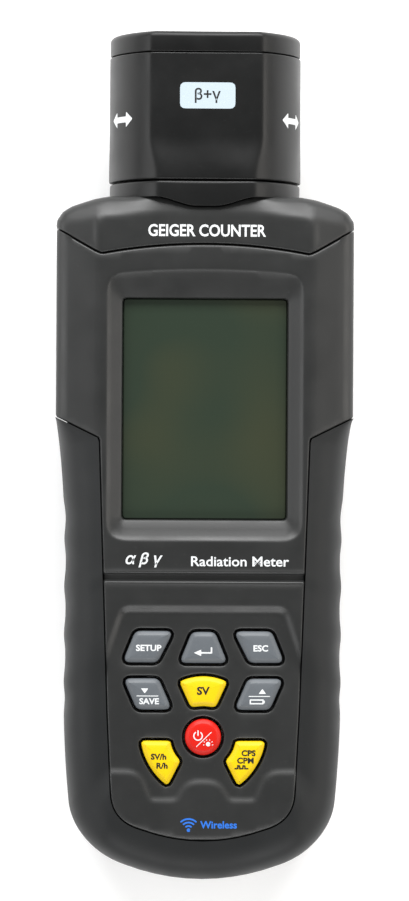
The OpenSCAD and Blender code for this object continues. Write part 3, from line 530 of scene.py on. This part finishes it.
# ---- Rubber boot ----
# Soft black rubber moulded round the grip in one U, flush with the hard panel in front and
# behind, with shallow finger scallops down both sides.
boot_inner = np.vstack([
    [[half, boot_y + 0.06]], [[half - 11.3, boot_y - 5.44], [half - 13.6, foot_y + 44.5]],
    cubic([half - 14.6, foot_y + 23.6], [half - 14.8, foot_y + 18.1],
          [half - 18, foot_y + 15.2], [half - 22.6, foot_y + 13.9], 12),
    [[(half - 22.6) * t, foot_y + 11 + 2.9 * t * t] for t in (0.75, 0.5, 0.25, 0)]])
grip = half - 2.35
t_grip = np.linspace(0, 1, 14)
t_taper = np.linspace(0.1, 1, 10)
boot_outer = np.vstack([
    np.column_stack([grip + 2.35 * (1 - t_grip) ** 2, boot_y - 32.7 * t_grip]),
    np.column_stack([grip - 1.5 * t_taper ** 2, foot_y + 49 - 29.8 * t_taper]),
    cubic([grip - 1.5, foot_y + 19.2], [grip - 2.65, foot_y + 12.2],
          [grip - 8.65, foot_y + 6.2], [grip - 16.15, foot_y + 3.7], 14)[1:],
    [[(grip - 16.15) * t, foot_y + 3.7 * t * t] for t in (0.8, 0.6, 0.4, 0.2, 0)]])


def along(line, share):
    """Points at the given shares of an open line's length."""
    gap = np.linalg.norm(np.diff(line, axis=0), axis=1)
    run = np.concatenate([[0], np.cumsum(gap)])
    at = share * run[-1]
    return np.column_stack([np.interp(at, run, line[:, 0]), np.interp(at, run, line[:, 1])])


stations = np.linspace(0, 1, 210)
outer_half = along(boot_outer, stations)
inner_half = along(boot_inner, np.interp(stations, [0, 0.06, 1], [0, 0.115, 1]))
both = np.array([-1.0, 1.0])
outer_line = np.vstack([outer_half, outer_half[-2::-1] * both])
inner_line = np.vstack([inner_half, inner_half[-2::-1] * both])
SCALLOP = 12.4
wave = 0.5 - 0.5 * np.cos(2 * np.pi * (outer_line[:, 1] + 15.0) / SCALLOP)
fade = smooth((outer_line[:, 1] + 68) / 6) * smooth((-8 - outer_line[:, 1]) / 8)
notch = 0.42 * (1 - wave ** 1.5) * fade
section = np.linspace(0, np.pi / 2, 26)
lift = np.sin(section) ** (2 / 4.6)
inward = 1 - np.cos(section) ** (2 / 3.4)
sunk = smooth((pad_y - 14 - inner_line[:, 1]) / 12) * smooth((inner_line[:, 1] - pad_y + 55) / 8)
front_top = face_height(inner_line) - 0.95 * sunk
front_edge = face_height(outer_line) - 1.0
toward = inner_line - outer_line
reach = np.linalg.norm(toward, axis=1, keepdims=True) + 1e-9


def boot_row(w):
    """The outer line moved a share w of the way to the inner one, with the scallops cut in."""
    cut = notch * (1 - w) ** 1.6
    return outer_line + toward * w + toward / reach * cut[:, None]


def boot_rise(w):
    """Height of the front above the belt: the inner line's, less what it falls on the way out."""
    return front_top - part_z - (front_top - front_edge) * max(1 - w, 0)


BACK_WALL = 9.0
BACK_ROUND = 8.0


def back_round(w):
    """Height of the rounded back edge: z = wall - wall * sqrt(1 - (1 - inset / round)^2)."""
    inset = np.minimum(reach[:, 0] * w, BACK_ROUND)
    return BACK_WALL - BACK_WALL * np.sqrt(1 - (1 - inset / BACK_ROUND) ** 2)


front_rows = [np.column_stack([boot_row(w), part_z + boot_rise(w) * h]) for h, w in zip(lift, inward)]
back_share = np.linspace(0, 1, 22) ** 1.7
back_rows = [np.column_stack([boot_row(0), np.full(len(outer_line), z)]) for z in (part_z, 18.0, 13.0)]
back_rows += [np.column_stack([boot_row(w), back_round(w)]) for w in back_share]
floor_front = np.column_stack([inner_line, front_top - 3.0])
floor_back = np.column_stack([inner_line, back_rows[-1][:, 2] + 2.6])
rows = [floor_back, *back_rows[::-1], *front_rows[1:], floor_front]
grid = np.stack(rows)
row_count, column_count = grid.shape[:2]


def strip_faces(row_count, column_count, wrap_rows=True, wrap_columns=False):
    """Quads over a grid of points; either way may close on itself."""
    r = np.arange(row_count if wrap_rows else row_count - 1)
    c = np.arange(column_count if wrap_columns else column_count - 1)
    r0, c0 = np.meshgrid(r, c, indexing="ij")
    r1, c1 = (r0 + 1) % row_count, (c0 + 1) % column_count
    quads = np.stack([r0 * column_count + c0, r0 * column_count + c1,
                      r1 * column_count + c1, r1 * column_count + c0], -1)
    return quads.reshape(-1, 4).tolist()


boot_rubber = moulded("boot_rubber", (0.009, 0.0100, 0.0104), 0.52, grain=0.7, grain_depth=0.014,
                      wear=0.12, shine=0.28)
caps = [list(range(0, row_count * column_count, column_count)),
        list(range(column_count - 1, row_count * column_count, column_count))[::-1]]
boot = add_piece("boot_skin", grid.reshape(-1, 3), strip_faces(row_count, column_count) + caps, boot_rubber)
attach(boot, "case")
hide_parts("rubber_boot")

# ---- Selector drum, lid and collar ----
# ABS mouldings of one outline, a circle with three flats. Drum and lid are screwed together and
# turn on the fixed hub; the collar below stays still and hangs a tongue over the head.
drum_low, drum_high = box_mm("selector_drum")
lid_low, lid_high = box_mm("selector_lid")
hub_low, hub_high = box_mm("tube_hub")
hinge = next(j for j in frame["joints"] if j["name"] == "selector_turn")
axis_z = hinge["pos_m"][2] / MM
drum_r = (lid_high[0] - lid_low[0]) / 2 + 0.25
flat_r = drum_r - 4.4
ROUND_INSET = 4.5
angles = np.linspace(0, 2 * np.pi, 288, endpoint=False)


def drum_radius(angle, rise=0.0, blend=90):
    """Radius of a circle with three flats, r = (circle^-n + flat^-n)^(-1/n), which rounds their
    edges; a rise lifts the flats towards the circle."""
    from_flat = (angle + np.pi / 3) % (2 * np.pi / 3) - np.pi / 3
    flat = (flat_r + rise) / np.cos(from_flat)
    return (drum_r ** -blend + flat ** -blend) ** (-1 / blend)


def about_axis(radius, y, angle):
    """Points round the selector's axis; angle 0 faces the front, and grows towards +X."""
    return np.stack([radius * np.sin(angle), np.broadcast_to(y, radius.shape),
                     axis_z + radius * np.cos(angle)], -1)


def turned_shell(name, profile, material):
    """A ring of the drum's outline whose profile is a closed list of (inset, y). An inset of
    more than ROUND_INSET lies inside the flats, so it makes a plain round bore."""
    rows = []
    for inset, y in profile:
        outline = drum_radius(angles) - inset
        circle = np.full(len(angles), drum_r - inset)
        rows.append(about_axis(np.where(inset > ROUND_INSET, circle, outline), y, angles))
    grid = np.stack(rows)
    faces = strip_faces(len(rows), len(angles), True, True)
    return add_piece(name, grid.reshape(-1, 3), faces, material, sharp=50)


def rim(inset, y, radius, up, out=True):
    """A rounded edge as (inset, y) steps, from the side wall over to the end face."""
    t = np.linspace(0, np.pi / 2, 6)
    steps = [(inset + radius * (1 - math.cos(a)), y - up * radius * (1 - math.sin(a))) for a in t]
    return steps if out else steps[::-1]


drum_plastic = moulded("drum_plastic", (0.006, 0.0063, 0.0063), 0.36, grain=0.6, grain_depth=0.006,
                       wear=0.1, shine=0.3)
lid_plastic = moulded("lid_plastic", (0.005, 0.0052, 0.0052), 0.38, grain=0.6, grain_depth=0.006,
                      wear=0.1, shine=0.3)
# Insets of the bore that turns on the hub, and of the wider bore round the filters.
bore = 7.2
wide = 5.5
BORE_STEP = 3.6
SCOOP_RISE = 1.2
scoop = np.linspace(0, 1, 14)
scoop_y = drum_low[1] + 0.9 + 10.5 * scoop
inside_rows = [about_axis(np.full(len(angles), drum_r - inset), y, angles) for inset, y in (
    (bore, drum_low[1]), (bore, drum_high[1] - BORE_STEP), (wide, drum_high[1] - BORE_STEP),
    (wide, drum_high[1]))]
top_rim = [about_axis(drum_radius(angles) - inset, y, angles)
           for inset, y in rim(0.0, drum_high[1], 0.35, 1, out=False)]
wall_rows = [about_axis(drum_radius(angles, SCOOP_RISE * (1 - smooth(t))), y, angles)
             for t, y in zip(scoop[::-1], scoop_y[::-1])]
low_rim = [about_axis(drum_radius(angles, SCOOP_RISE) - inset, y, angles)
           for inset, y in rim(0.0, drum_low[1], 0.45, -1)]
drum_rows = inside_rows + top_rim + wall_rows + low_rim
drum = add_piece("drum_shell", np.stack(drum_rows).reshape(-1, 3),
                 strip_faces(len(drum_rows), len(angles), True, True), drum_plastic, sharp=50)
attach(drum, "selector")
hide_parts("selector_drum")

lid_gap = 0.25
LID_ROUND = 1.5
lid = turned_shell("lid_ring", [
    (wide, lid_low[1]), (wide, lid_high[1] - 0.1), *rim(0.12, lid_high[1], LID_ROUND, 1, out=False),
    *rim(0.12, lid_low[1] + lid_gap, 0.3, -1)], lid_plastic)
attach(lid, "selector")

WINDOW_R = 5.8
WINDOW_AT = 7.5


def lid_plan(x, y, z):
    """A plate drawn flat, stood up on the end of the selector: z counts back from its end face."""
    return np.column_stack([x, lid_high[1] + z, axis_z + y])


def relief_standing(piece, place):
    """Moves a plate's points through place(x, y, z), all in mm."""
    count = len(piece.data.vertices)
    flat = np.empty(count * 3)
    piece.data.vertices.foreach_get("co", flat)
    x, y, z = (flat.reshape(-1, 3) / MM).T
    piece.data.vertices.foreach_set("co", (place(x, y, z) * MM).ravel())
    piece.data.update()
    return piece


def flipped(piece):
    """Turns every face over, for a plate whose placing mirrors it."""
    piece.data.flip_normals()
    return piece


ring_angle = np.linspace(0, 2 * np.pi, 40, endpoint=False)
thirds = np.radians([0, 120, 240])
wells = [np.column_stack([WINDOW_AT * math.sin(a) + WINDOW_R * np.sin(ring_angle),
                          WINDOW_AT * math.cos(a) + WINDOW_R * np.cos(ring_angle)]) for a in thirds]
screw_at = drum_r - 3.6
screw_wells = [np.column_stack([screw_at * math.sin(a) + 2.0 * np.sin(ring_angle),
                                screw_at * math.cos(a) + 2.0 * np.cos(ring_angle)])
               for a in np.radians([60, 180, 300])]
cap_radius = drum_radius(angles) - 0.12 - LID_ROUND + 0.05
cap_outline = np.column_stack([cap_radius * np.sin(angles), cap_radius * np.cos(angles)])


def cap_top(p):
    """Flat end face with a soft lip round every well."""
    drop = np.zeros(len(p))
    for well in wells + screw_wells:
        drop += fillet(np.abs(depth_inside(p, well)), 0.4)
    return -drop


lip_guides = [offset_line(w, -d) for w in wells + screw_wells for d in (0.15, 0.4)]
cap = relief("lid_face", cap_outline, wells + screw_wells, lip_guides, cap_top,
             level(-2.4), lid_plastic)
flipped(relief_standing(cap, lid_plan))
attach(cap, "selector")
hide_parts("selector_lid")

# The fixed hub in one loop: collar wall, tongue, underside, then the neck up inside the drum.
collar_top = drum_low[1] - 0.4
across = drum_radius(angles) * np.sin(angles)
tongue = (top_y - tongue_line(across)) * (np.cos(angles) > 0.3)
collar_foot = top_y - 0.25
collar_rows = []
for inset, share in ((0.55, 0), (0.28, 0.05), (0.22, 0.15), (0.22, 0.5), (0.22, 0.95), (0.24, 0.99),
                     (0.3, 1)):
    y = collar_top + (collar_foot - tongue - collar_top) * share
    collar_rows.append(about_axis(drum_radius(angles, 1.2) - inset, y, angles))
collar_rows.append(about_axis(drum_radius(angles) - 3.4, collar_foot - tongue, angles))
hub_r = drum_r - 7.5
NECK_R, TUBE_HOLE_R = 13.0, 7.0
for radius, y in ((NECK_R, collar_foot), (NECK_R, hub_low[1]), (TUBE_HOLE_R, hub_low[1]),
                  (TUBE_HOLE_R, hub_high[1]), (hub_r, hub_high[1]), (hub_r, collar_top)):
    collar_rows.append(about_axis(np.full(len(angles), radius), y, angles))
collar = add_piece("fixed_hub", np.stack(collar_rows).reshape(-1, 3),
                   strip_faces(len(collar_rows), len(angles), True, True), drum_plastic, sharp=50)
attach(collar, "case")
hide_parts("tube_hub")

# ---- Keys ----
# Nine hard caps moulded through in grey, yellow and red, with a bevelled rim and a slightly
# crowned face. Each stands on its own dome and moves down through its hole.
KEY_TOP = box_mm("setup_key")[1][2]
KEY_SKIRT = KEY_TOP - 5.2
CROWN = 0.22
grey = moulded("grey_key_plastic", (0.105, 0.116, 0.128), 0.42, grain=0.5, grain_depth=0.004,
               wear=0.12, cloud=0.03, shine=0.35)
yellow = moulded("yellow_key_plastic", (0.72, 0.50, 0.004), 0.42, grain=0.5, grain_depth=0.003,
                 wear=0.0, cloud=0.02, shine=0.22)
red = moulded("red_key_plastic", (0.56, 0.012, 0.006), 0.42, grain=0.5, grain_depth=0.003,
              wear=0.0, cloud=0.03, shine=0.22)
KEY_FINISH = {"sievert_key": yellow, "dose_unit_key": yellow, "count_key": yellow, "power_key": red}
KEY_SLOT = {"sievert_key": "yellow_key", "dose_unit_key": "yellow_key", "count_key": "yellow_key",
            "power_key": "red_key"}


def key_cap(name, outline, material):
    """Rings of the outline: up the side, in over a bevel, then shrinking to the middle on a
    shallow dome z = top + crown * (1 - (1 - t)^2)."""
    rings = [(0.0, KEY_SKIRT), (0.0, KEY_TOP - 1.0), (0.10, KEY_TOP - 0.75), (0.30, KEY_TOP - 0.55),
             (0.85, KEY_TOP - 0.18), (1.0, KEY_TOP - 0.08), (1.2, KEY_TOP)]
    rows = [np.column_stack([offset_line(outline, inset), np.full(len(outline), z)]) for inset, z in rings]
    rim_line = rows[-1][:, :2]
    centre = rim_line.mean(0)
    for t in (0.2, 0.4, 0.6, 0.8, 0.97):
        xy = rim_line + (centre - rim_line) * t
        rows.append(np.column_stack([xy, np.full(len(xy), KEY_TOP + CROWN * (1 - (1 - t) ** 2))]))
    count = len(outline)
    points = np.vstack(rows)
    faces = strip_faces(len(rows), count, False, True)
    faces += [list(range(count))[::-1], list(range((len(rows) - 1) * count, len(rows) * count))]
    area = np.sum(outline[:, 0] * np.roll(outline[:, 1], -1) - np.roll(outline[:, 0], -1) * outline[:, 1])
    piece = add_piece(name, points, faces, material, sharp=40)
    if area < 0:
        flipped(piece)
    return piece


for key_name, line in KEY_OUTLINES.items():
    finish = KEY_FINISH.get(key_name, grey)
    cap_piece = key_cap(key_name.replace("_key", "_cap"), line, finish)
    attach(cap_piece, key_name.replace("_key", "_button"))
    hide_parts(key_name)

# ---- Display ----
# A clear hard-coated window over a grey-green reflective display. It is glued in from behind,
# under the bezel's lip, with a rounded edge and a gloss face.
DOT_PITCH = 0.33


def display_material():
    """Grey-green display seen through its window: dark, with slow paler olive-brown patches painted in as a
    reflection on the window, a faint row and column grid, under a hard gloss coat."""
    look = Surface("display_green")
    painted_reflection_noise = look.noise(24, 1)
    # Painted reflection: the paler olive-brown patches over the dark green stand in for a light mirrored in
    # the window; the same noise also varies the gloss.
    tint = look.mix(look.spread(painted_reflection_noise, 0.45, 0.75, 0, 1), (0.022, 0.034, 0.022), (0.045, 0.046, 0.022))
    grid = look.nodes.new("ShaderNodeTexBrick")
    grid.offset = 0
    grid.inputs["Scale"].default_value = 1000
    grid.inputs["Brick Width"].default_value = DOT_PITCH
    grid.inputs["Row Height"].default_value = DOT_PITCH
    grid.inputs["Mortar Size"].default_value = 0.03
    grid.inputs["Color1"].default_value = (1, 1, 1, 1)
    grid.inputs["Color2"].default_value = (0.97, 0.97, 0.97, 1)
    grid.inputs["Mortar"].default_value = (0.86, 0.86, 0.86, 1)
    look.links.new(look.place, grid.inputs["Vector"])
    look.drive("Base Color", look.mix(1, tint, grid.outputs["Color"], "MULTIPLY"))
    look.drive("Roughness", look.spread(painted_reflection_noise, 0, 1, 0.12, 0.2))
    return look.material


lens_line = offset_line(opening, 0.1)
lens = relief("display_lens", lens_line, [], [offset_line(lens_line, 0.3)],
              lambda p: window_high[2] - 0.7 - fillet(depth_inside(p, lens_line), 0.3),
              level(window_high[2] - 1.8), display_material(), step=3)
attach(lens, "case")
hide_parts("lcd_window")

# ---- Printing ----
# Screen-printed legends a few hundredths of a millimetre thick: white on the dark case and grey
# and red keys, black on yellow keys, one blue mark. All of it names functions only.
def ink(name, colour, rough=0.45, grain_depth=0.002, cloud=0.05):
    """Ink or film: almost smooth, and not worn."""
    return moulded(name, colour, rough, grain=0.5, grain_depth=grain_depth, wear=0, cloud=cloud)


print_white = ink("print_white", (0.66, 0.68, 0.69), cloud=0.02)
print_black = ink("print_black", (0.010, 0.010, 0.010))
print_blue = ink("print_blue", (0.022, 0.15, 0.60), rough=0.4)
label_film = ink("label_film", (0.45, 0.53, 0.585), rough=0.35, grain_depth=0.001, cloud=0.02)
INK = 0.035
SUNK = 0.06
CAP_HEIGHT = 0.69


def printed(name, outlines, centre, height, material, holes=()):
    """Flat shapes round a centre, laid on the surface z = height(x, y) as one thin piece."""
    shapes = []
    for index, outline in enumerate(outlines):
        line = even(np.asarray(outline, float) + centre, 0.35)
        cut = [np.asarray(hole, float) + centre for owner, hole in holes if owner == index]
        shapes.append(relief(f"{name}_{index}", line, cut, [], lambda p: height(p) + INK,
                             lambda p: height(p) - SUNK, material, step=1.2))
    return merged(name, shapes, material)


def merged(name, pieces, material):
    """Several pieces as one mesh."""
    points, faces, start = [], [], 0
    for piece in pieces:
        mesh = piece.data
        xyz = np.empty(len(mesh.vertices) * 3)
        mesh.vertices.foreach_get("co", xyz)
        points.append(xyz.reshape(-1, 3) / MM)
        faces += [[v + start for v in polygon.vertices] for polygon in mesh.polygons]
        start += len(mesh.vertices)
        bpy.data.objects.remove(piece)
    return add_piece(name, np.vstack(points), faces, material, sharp=30)


def lettering(name, words, cap, centre, height, material, bold=0.02, slant=0.0, squeeze=1.0):
    """Words with capitals of a height in mm, centred, laid on z = height(x, y). The built-in
    typeface's capitals are CAP_HEIGHT tall at size 1."""
    curve = bpy.data.curves.new(name, "FONT")
    curve.body = words
    curve.align_x = curve.align_y = "CENTER"
    curve.size = 1
    curve.offset = bold
    curve.extrude = 0.1
    curve.resolution_u = 3
    curve.shear = slant
    words_object = bpy.data.objects.new(name + "_curve", curve)
    bpy.context.collection.objects.link(words_object)
    graph = bpy.context.evaluated_depsgraph_get()
    mesh = bpy.data.meshes.new_from_object(words_object.evaluated_get(graph))
    bpy.data.objects.remove(words_object)
    count = len(mesh.vertices)
    xyz = np.empty(count * 3)
    mesh.vertices.foreach_get("co", xyz)
    xyz = xyz.reshape(-1, 3)
    flat = xyz[:, :2] - (xyz[:, :2].max(0) + xyz[:, :2].min(0)) / 2
    flat = flat * [cap / CAP_HEIGHT * squeeze, cap / CAP_HEIGHT] + centre
    z = height(flat) + np.where(xyz[:, 2] > 0, INK, -SUNK)
    mesh.vertices.foreach_set("co", (np.column_stack([flat, z]) * MM).ravel())
    mesh.materials.clear()
    mesh.materials.append(material)
    mesh.update()
    piece = bpy.data.objects.new(name, mesh)
    bpy.context.collection.objects.link(piece)
    return piece


def case_print(piece):
    """Fixes a print to the case."""
    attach(piece, "case")


def arc_band(radius, thick, start, stop, count=20):
    """A closed band along an arc, angles in degrees from +X."""
    a = np.radians(np.linspace(start, stop, count))[:, None]
    ring = np.hstack([np.cos(a), np.sin(a)])
    return np.vstack([ring * (radius - thick / 2), ring[::-1] * (radius + thick / 2)])


def bar(x0, y0, x1, y1, thick):
    """A straight stroke with square ends."""
    a, b = np.array([x0, y0]), np.array([x1, y1])
    side = np.array([y0 - y1, x1 - x0]) / np.hypot(x1 - x0, y1 - y0) * thick / 2
    return np.array([a - side, b - side, b + side, a + side])


case_print(lettering("head_title", "GEIGER COUNTER", 2.9, (0.3, top_y - 8.9), cover_height,
                     print_white, bold=0.022, squeeze=0.86))
case_print(lettering("model_line", "\u03b1 \u03b2 \u03b3", 2.7, (-15.4, pad_y + 5.4), front_height,
                     print_white, slant=0.25))
case_print(lettering("name_line", "Radiation Meter", 2.45, (9.2, pad_y + 5.1), front_height,
                     print_white, bold=0.014, squeeze=1.09))
case_print(lettering("wireless_words", "Wireless", 1.8, (4.1, foot_y + 15.4), front_height,
                     print_blue, bold=0.025))
waves = [arc_band(r, 0.42, 45, 135, 12) for r in (1.1, 2.0, 2.9)] + [arc_band(0.25, 0.5, 0, 350, 16)]
case_print(printed("wireless_mark", waves, (-3.6, foot_y + 14.0), front_height, print_blue))


def key_surface(name):
    """Height over a key's crowned face, from how deep a point lies inside its outline."""
    line = KEY_OUTLINES[name]
    deepest = depth_inside(line.mean(0)[None], line)[0]

    def height(p):
        t = np.clip((depth_inside(p, line) - 1) / (deepest - 1), 0, 1)
        return KEY_TOP + CROWN * (1 - (1 - t) ** 2)
    return height


KEY_WORDS = {
    "setup_key": [("SETUP", 1.5, 0.3, -0.35)], "escape_key": [("ESC", 1.5, 0.3, -0.35)],
    "sievert_key": [("SV", 1.9, 0, 0)], "down_key": [("SAVE", 1.45, 0.4, -1.8)],
    "dose_unit_key": [("SV/h", 1.4, -0.6, 0.7), ("R/h", 1.4, 0.3, -1.6)],
    "count_key": [("CPS", 1.4, 0.9, 1.7), ("CPM", 1.4, 0.1, -0.2)],
}
pulse = np.array([[-2, -0.6], [-2, -0.25], [-1.25, -0.25], [-1.25, 0.6], [-0.35, 0.6], [-0.35, -0.25],
                  [0.25, -0.25], [0.25, 0.6], [1.15, 0.6], [1.15, -0.25], [2, -0.25], [2, -0.6],
                  [0.8, -0.6], [0.8, 0.25], [0.6, 0.25], [0.6, -0.6], [-0.7, -0.6], [-0.7, 0.25],
                  [-0.9, 0.25], [-0.9, -0.6]])
rays = [bar(0.95 * math.cos(a), 0.95 * math.sin(a), 1.35 * math.cos(a), 1.35 * math.sin(a), 0.22)
        for a in np.radians([-10, 30, 70, 110, 150, 190])]
cell_case = np.array([[-2.4, -2.5], [1.2, -2.5], [1.2, -2.2], [1.5, -2.2], [1.5, -1.5], [1.2, -1.5],
                      [1.2, -1.2], [-2.4, -1.2]])
KEY_MARKS = {
    "enter_key": [np.array([[-2.5, -0.7], [-0.6, 0.15], [-0.6, -0.5], [1.85, -0.5], [1.85, 0.8],
                            [2.25, 0.8], [2.25, -0.9], [-0.6, -0.9], [-0.6, -1.55]])],
    "down_key": [np.array([[-1.7, 1.5], [0.2, 1.5], [-0.75, 0.2]]), bar(-2.9, -0.45, 2.8, -0.45, 0.22)],
    "up_key": [np.array([[-0.1, 0.2], [1.8, 0.2], [0.85, 1.5]]), bar(-2.7, -0.45, 2.9, -0.45, 0.22),
               cell_case],
    "power_key": [arc_band(1.1, 0.3, 120, 420, 24) + [-1.3, 0.35], bar(-1.3, 0.4, -1.3, 1.8, 0.3),
                  bar(-1.8, -2.5, 2.2, 1.4, 0.2), arc_band(0.3, 0.58, 0, 350, 16) + [1.3, -1.75],
                  *[ray + [1.3, -1.75] for ray in rays]],
    "count_key": [pulse * 0.9 + [-0.9, -1.9]],
}
KEY_HOLES = {"up_key": [(2, np.array([[-2.05, -2.15], [0.85, -2.15], [0.85, -1.55], [-2.05, -1.55]]))]}
for key_name, line in KEY_OUTLINES.items():
    colour = print_black if KEY_SLOT.get(key_name) == "yellow_key" else print_white
    middle_point = line.mean(0)
    height = key_surface(key_name)
    marks = [lettering(f"{key_name}_words_{i}", words, cap, middle_point + [x, y], height, colour,
                       bold=0.032, squeeze=1.08)
             for i, (words, cap, x, y) in enumerate(KEY_WORDS.get(key_name, []))]
    if key_name in KEY_MARKS:
        marks.append(printed(f"{key_name}_mark", KEY_MARKS[key_name], middle_point, height, colour,
                             KEY_HOLES.get(key_name, ())))
    legend = merged(f"{key_name}_legend", marks, colour)
    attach(legend, key_name.replace("_key", "_button"))

# The selector carries one filter label on each flat and a pair of turning arrows.
label_y = drum_low[1] + 21.5


def on_flat(turn_by):
    """Places a drawing on the drum's flat at an angle: x across, y along, z outwards."""
    def place(x, y, z):
        out = flat_r + z
        return np.column_stack([x * math.cos(turn_by) + out * math.sin(turn_by), y,
                                axis_z + out * math.cos(turn_by) - x * math.sin(turn_by)])
    return place


def on_wall(turn_by):
    """Wraps a drawing round the drum's wall: x becomes an angle of x / r."""
    def place(x, y, z):
        angle = turn_by + x / drum_r
        return about_axis(drum_radius(angle) + z, y, angle)
    return place


label_line = even(rounded([[-6.85, -3.35], [7.35, -3.35], [7.35, 3.35], [-6.85, 3.35]], 1.3), 0.8)
FILM = 0.10
for tag, third, words in (("a", 0, "\u03b2+\u03b3"), ("b", 1, "\u03b3"), ("c", 2, "\u03b1+\u03b2+\u03b3")):
    stand = on_flat(third * 2 * np.pi / 3)
    film = relief_standing(relief(f"filter_label_{tag}", label_line + [0, label_y], [], [],
                                  level(FILM), level(-0.04), label_film), stand)
    text = relief_standing(lettering(f"filter_words_{tag}", words, 2.75, (0.25, label_y),
                                     level(FILM), print_black, bold=0.012), stand)
    for piece in (film, text):
        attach(piece, "selector")

arrow_half = np.array([[0, -0.75], [2.3, -0.75], [2.3, -2.0], [5.0, 0]])
arrow = even(np.vstack([arrow_half, (arrow_half * [1, -1])[-2::-1], (arrow_half * [-1, -1])[1:],
                        (arrow_half * [-1, 1])[-2:0:-1]]), 0.5)
for tag, turn_by in (("left", -1.06), ("right", 1.10), ("back", np.pi)):
    piece = relief_standing(relief(f"turn_arrow_{tag}", arrow + [0, label_y - 5.7], [], [],
                                   level(INK), level(-0.08), print_white, step=0.8), on_wall(turn_by))
    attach(piece, "selector")

# ---- Rear case, door and fasteners ----
# The rear half, battery door and screws are the modelled parts themselves. The plastic is the
# same textured ABS as the front; screws are zinc-plated steel, the tripod insert turned brass.
def dress(names, material):
    """Gives the modelled parts of a list of names one material."""
    for name in names.split():
        mesh = frame["nodes"][name].data
        mesh.materials.clear()
        mesh.materials.append(material)


def metal(name, colour, rough, line=0.25, size_mm=0.6):
    """Bare or plated metal: turning marks in the gloss and the bump, and slow tarnish in the tint."""
    look = Surface(name)
    look.inputs["Metallic"].default_value = 1
    stretch = look.nodes.new("ShaderNodeVectorMath")
    stretch.operation = "MULTIPLY"
    stretch.inputs[1].default_value = (1, 1, 6)
    look.links.new(look.place, stretch.inputs[0])
    marks = look.noise(1000 / size_mm, place=stretch.outputs[0])
    look.drive("Base Color", look.mix(look.noise(220), times(colour, 0.78), colour))
    look.drive("Roughness", look.spread(marks, 0, 1, rough - 0.08, rough + 0.08))
    look.bump(marks, line, 0.005)
    return look.material


steel = metal("plated_steel", (0.62, 0.63, 0.64), 0.32)
dress("rear_case battery_door", case_plastic)
dress("case_screws battery_door_screw board_screws retaining_screws lid_screws", steel)
dress("detent_ball detent_spring", steel)
dress("tripod_insert", metal("turned_brass", (0.78, 0.57, 0.25), 0.3))
dress("case_gasket tube_grommet", moulded("seal_rubber", (0.012, 0.012, 0.012), 0.7, grain=0.4, shine=0.3))

# ---- Board, display stack and keypad mat ----
# Green solder-masked board with moulded chips and cans, a glass display on a milky light guide
# in a black frame, and a translucent silicone mat over stainless domes.
dress("main_board wireless_module", moulded("solder_mask", (0.010, 0.085, 0.030), 0.32, grain=1.4, cloud=0.2))
dress("processor_chip hv_transformer buzzer lcd_frame battery_box retaining_plate",
      moulded("black_moulding", (0.018, 0.018, 0.019), 0.5, grain=0.5))
dress("hv_capacitor", moulded("printed_sleeve", (0.02, 0.04, 0.12), 0.3, grain=0.8, cloud=0.2))
dress("lcd_glass", moulded("display_glass", (0.16, 0.19, 0.14), 0.12, grain=2.0, grain_depth=0.0005))
dress("lcd_backlight", moulded("light_guide", (0.70, 0.72, 0.70), 0.35, grain=1.0, grain_depth=0.004))
dress("lcd_connector", moulded("ribbon", (0.35, 0.20, 0.05), 0.4, grain=1.2))
dress("keypad_mat", moulded("silicone", (0.30, 0.31, 0.32), 0.55, grain=0.8))
dress("usb_socket battery_plates dome_switches battery_springs anode_clip",
      metal("plated_sheet", (0.70, 0.69, 0.66), 0.28))

# ---- Batteries and wires ----
# Four round cells lie in the box behind the board, in shrunk sleeves with a slight sheen. Soft
# silicone-jacketed leads, all in one red, are soldered from the contact plates to the board.
dress("batteries", moulded("cell_sleeve", (0.10, 0.11, 0.13), 0.3, grain=3.0, grain_depth=0.002, cloud=0.3))
dress("battery_wires tube_leads", moulded("wire_jacket", (0.35, 0.02, 0.015), 0.45, grain=0.4))

# ---- Sensor and filters ----
# A drawn steel tube with a mica end window, clipped in the hub. The disc under the lid holds an
# etched grille, a thin foil and a cast lead disc, and turns one of them in front of the window.
dress("gm_tube", metal("drawn_steel", (0.58, 0.58, 0.58), 0.25, 0.4, 0.3))
dress("tube_window", moulded("mica", (0.42, 0.36, 0.24), 0.2, grain=1.8, grain_depth=0.003, cloud=0.25))
dress("filter_disc", moulded("filter_plastic", (0.014, 0.014, 0.014), 0.5))
dress("alpha_grille", metal("etched_steel", (0.60, 0.60, 0.61), 0.35))
dress("beta_foil", metal("rolled_foil", (0.75, 0.76, 0.77), 0.22, 0.5, 1.2))
dress("gamma_shield", metal("cast_lead", (0.22, 0.23, 0.25), 0.55, 0.6, 1.5))
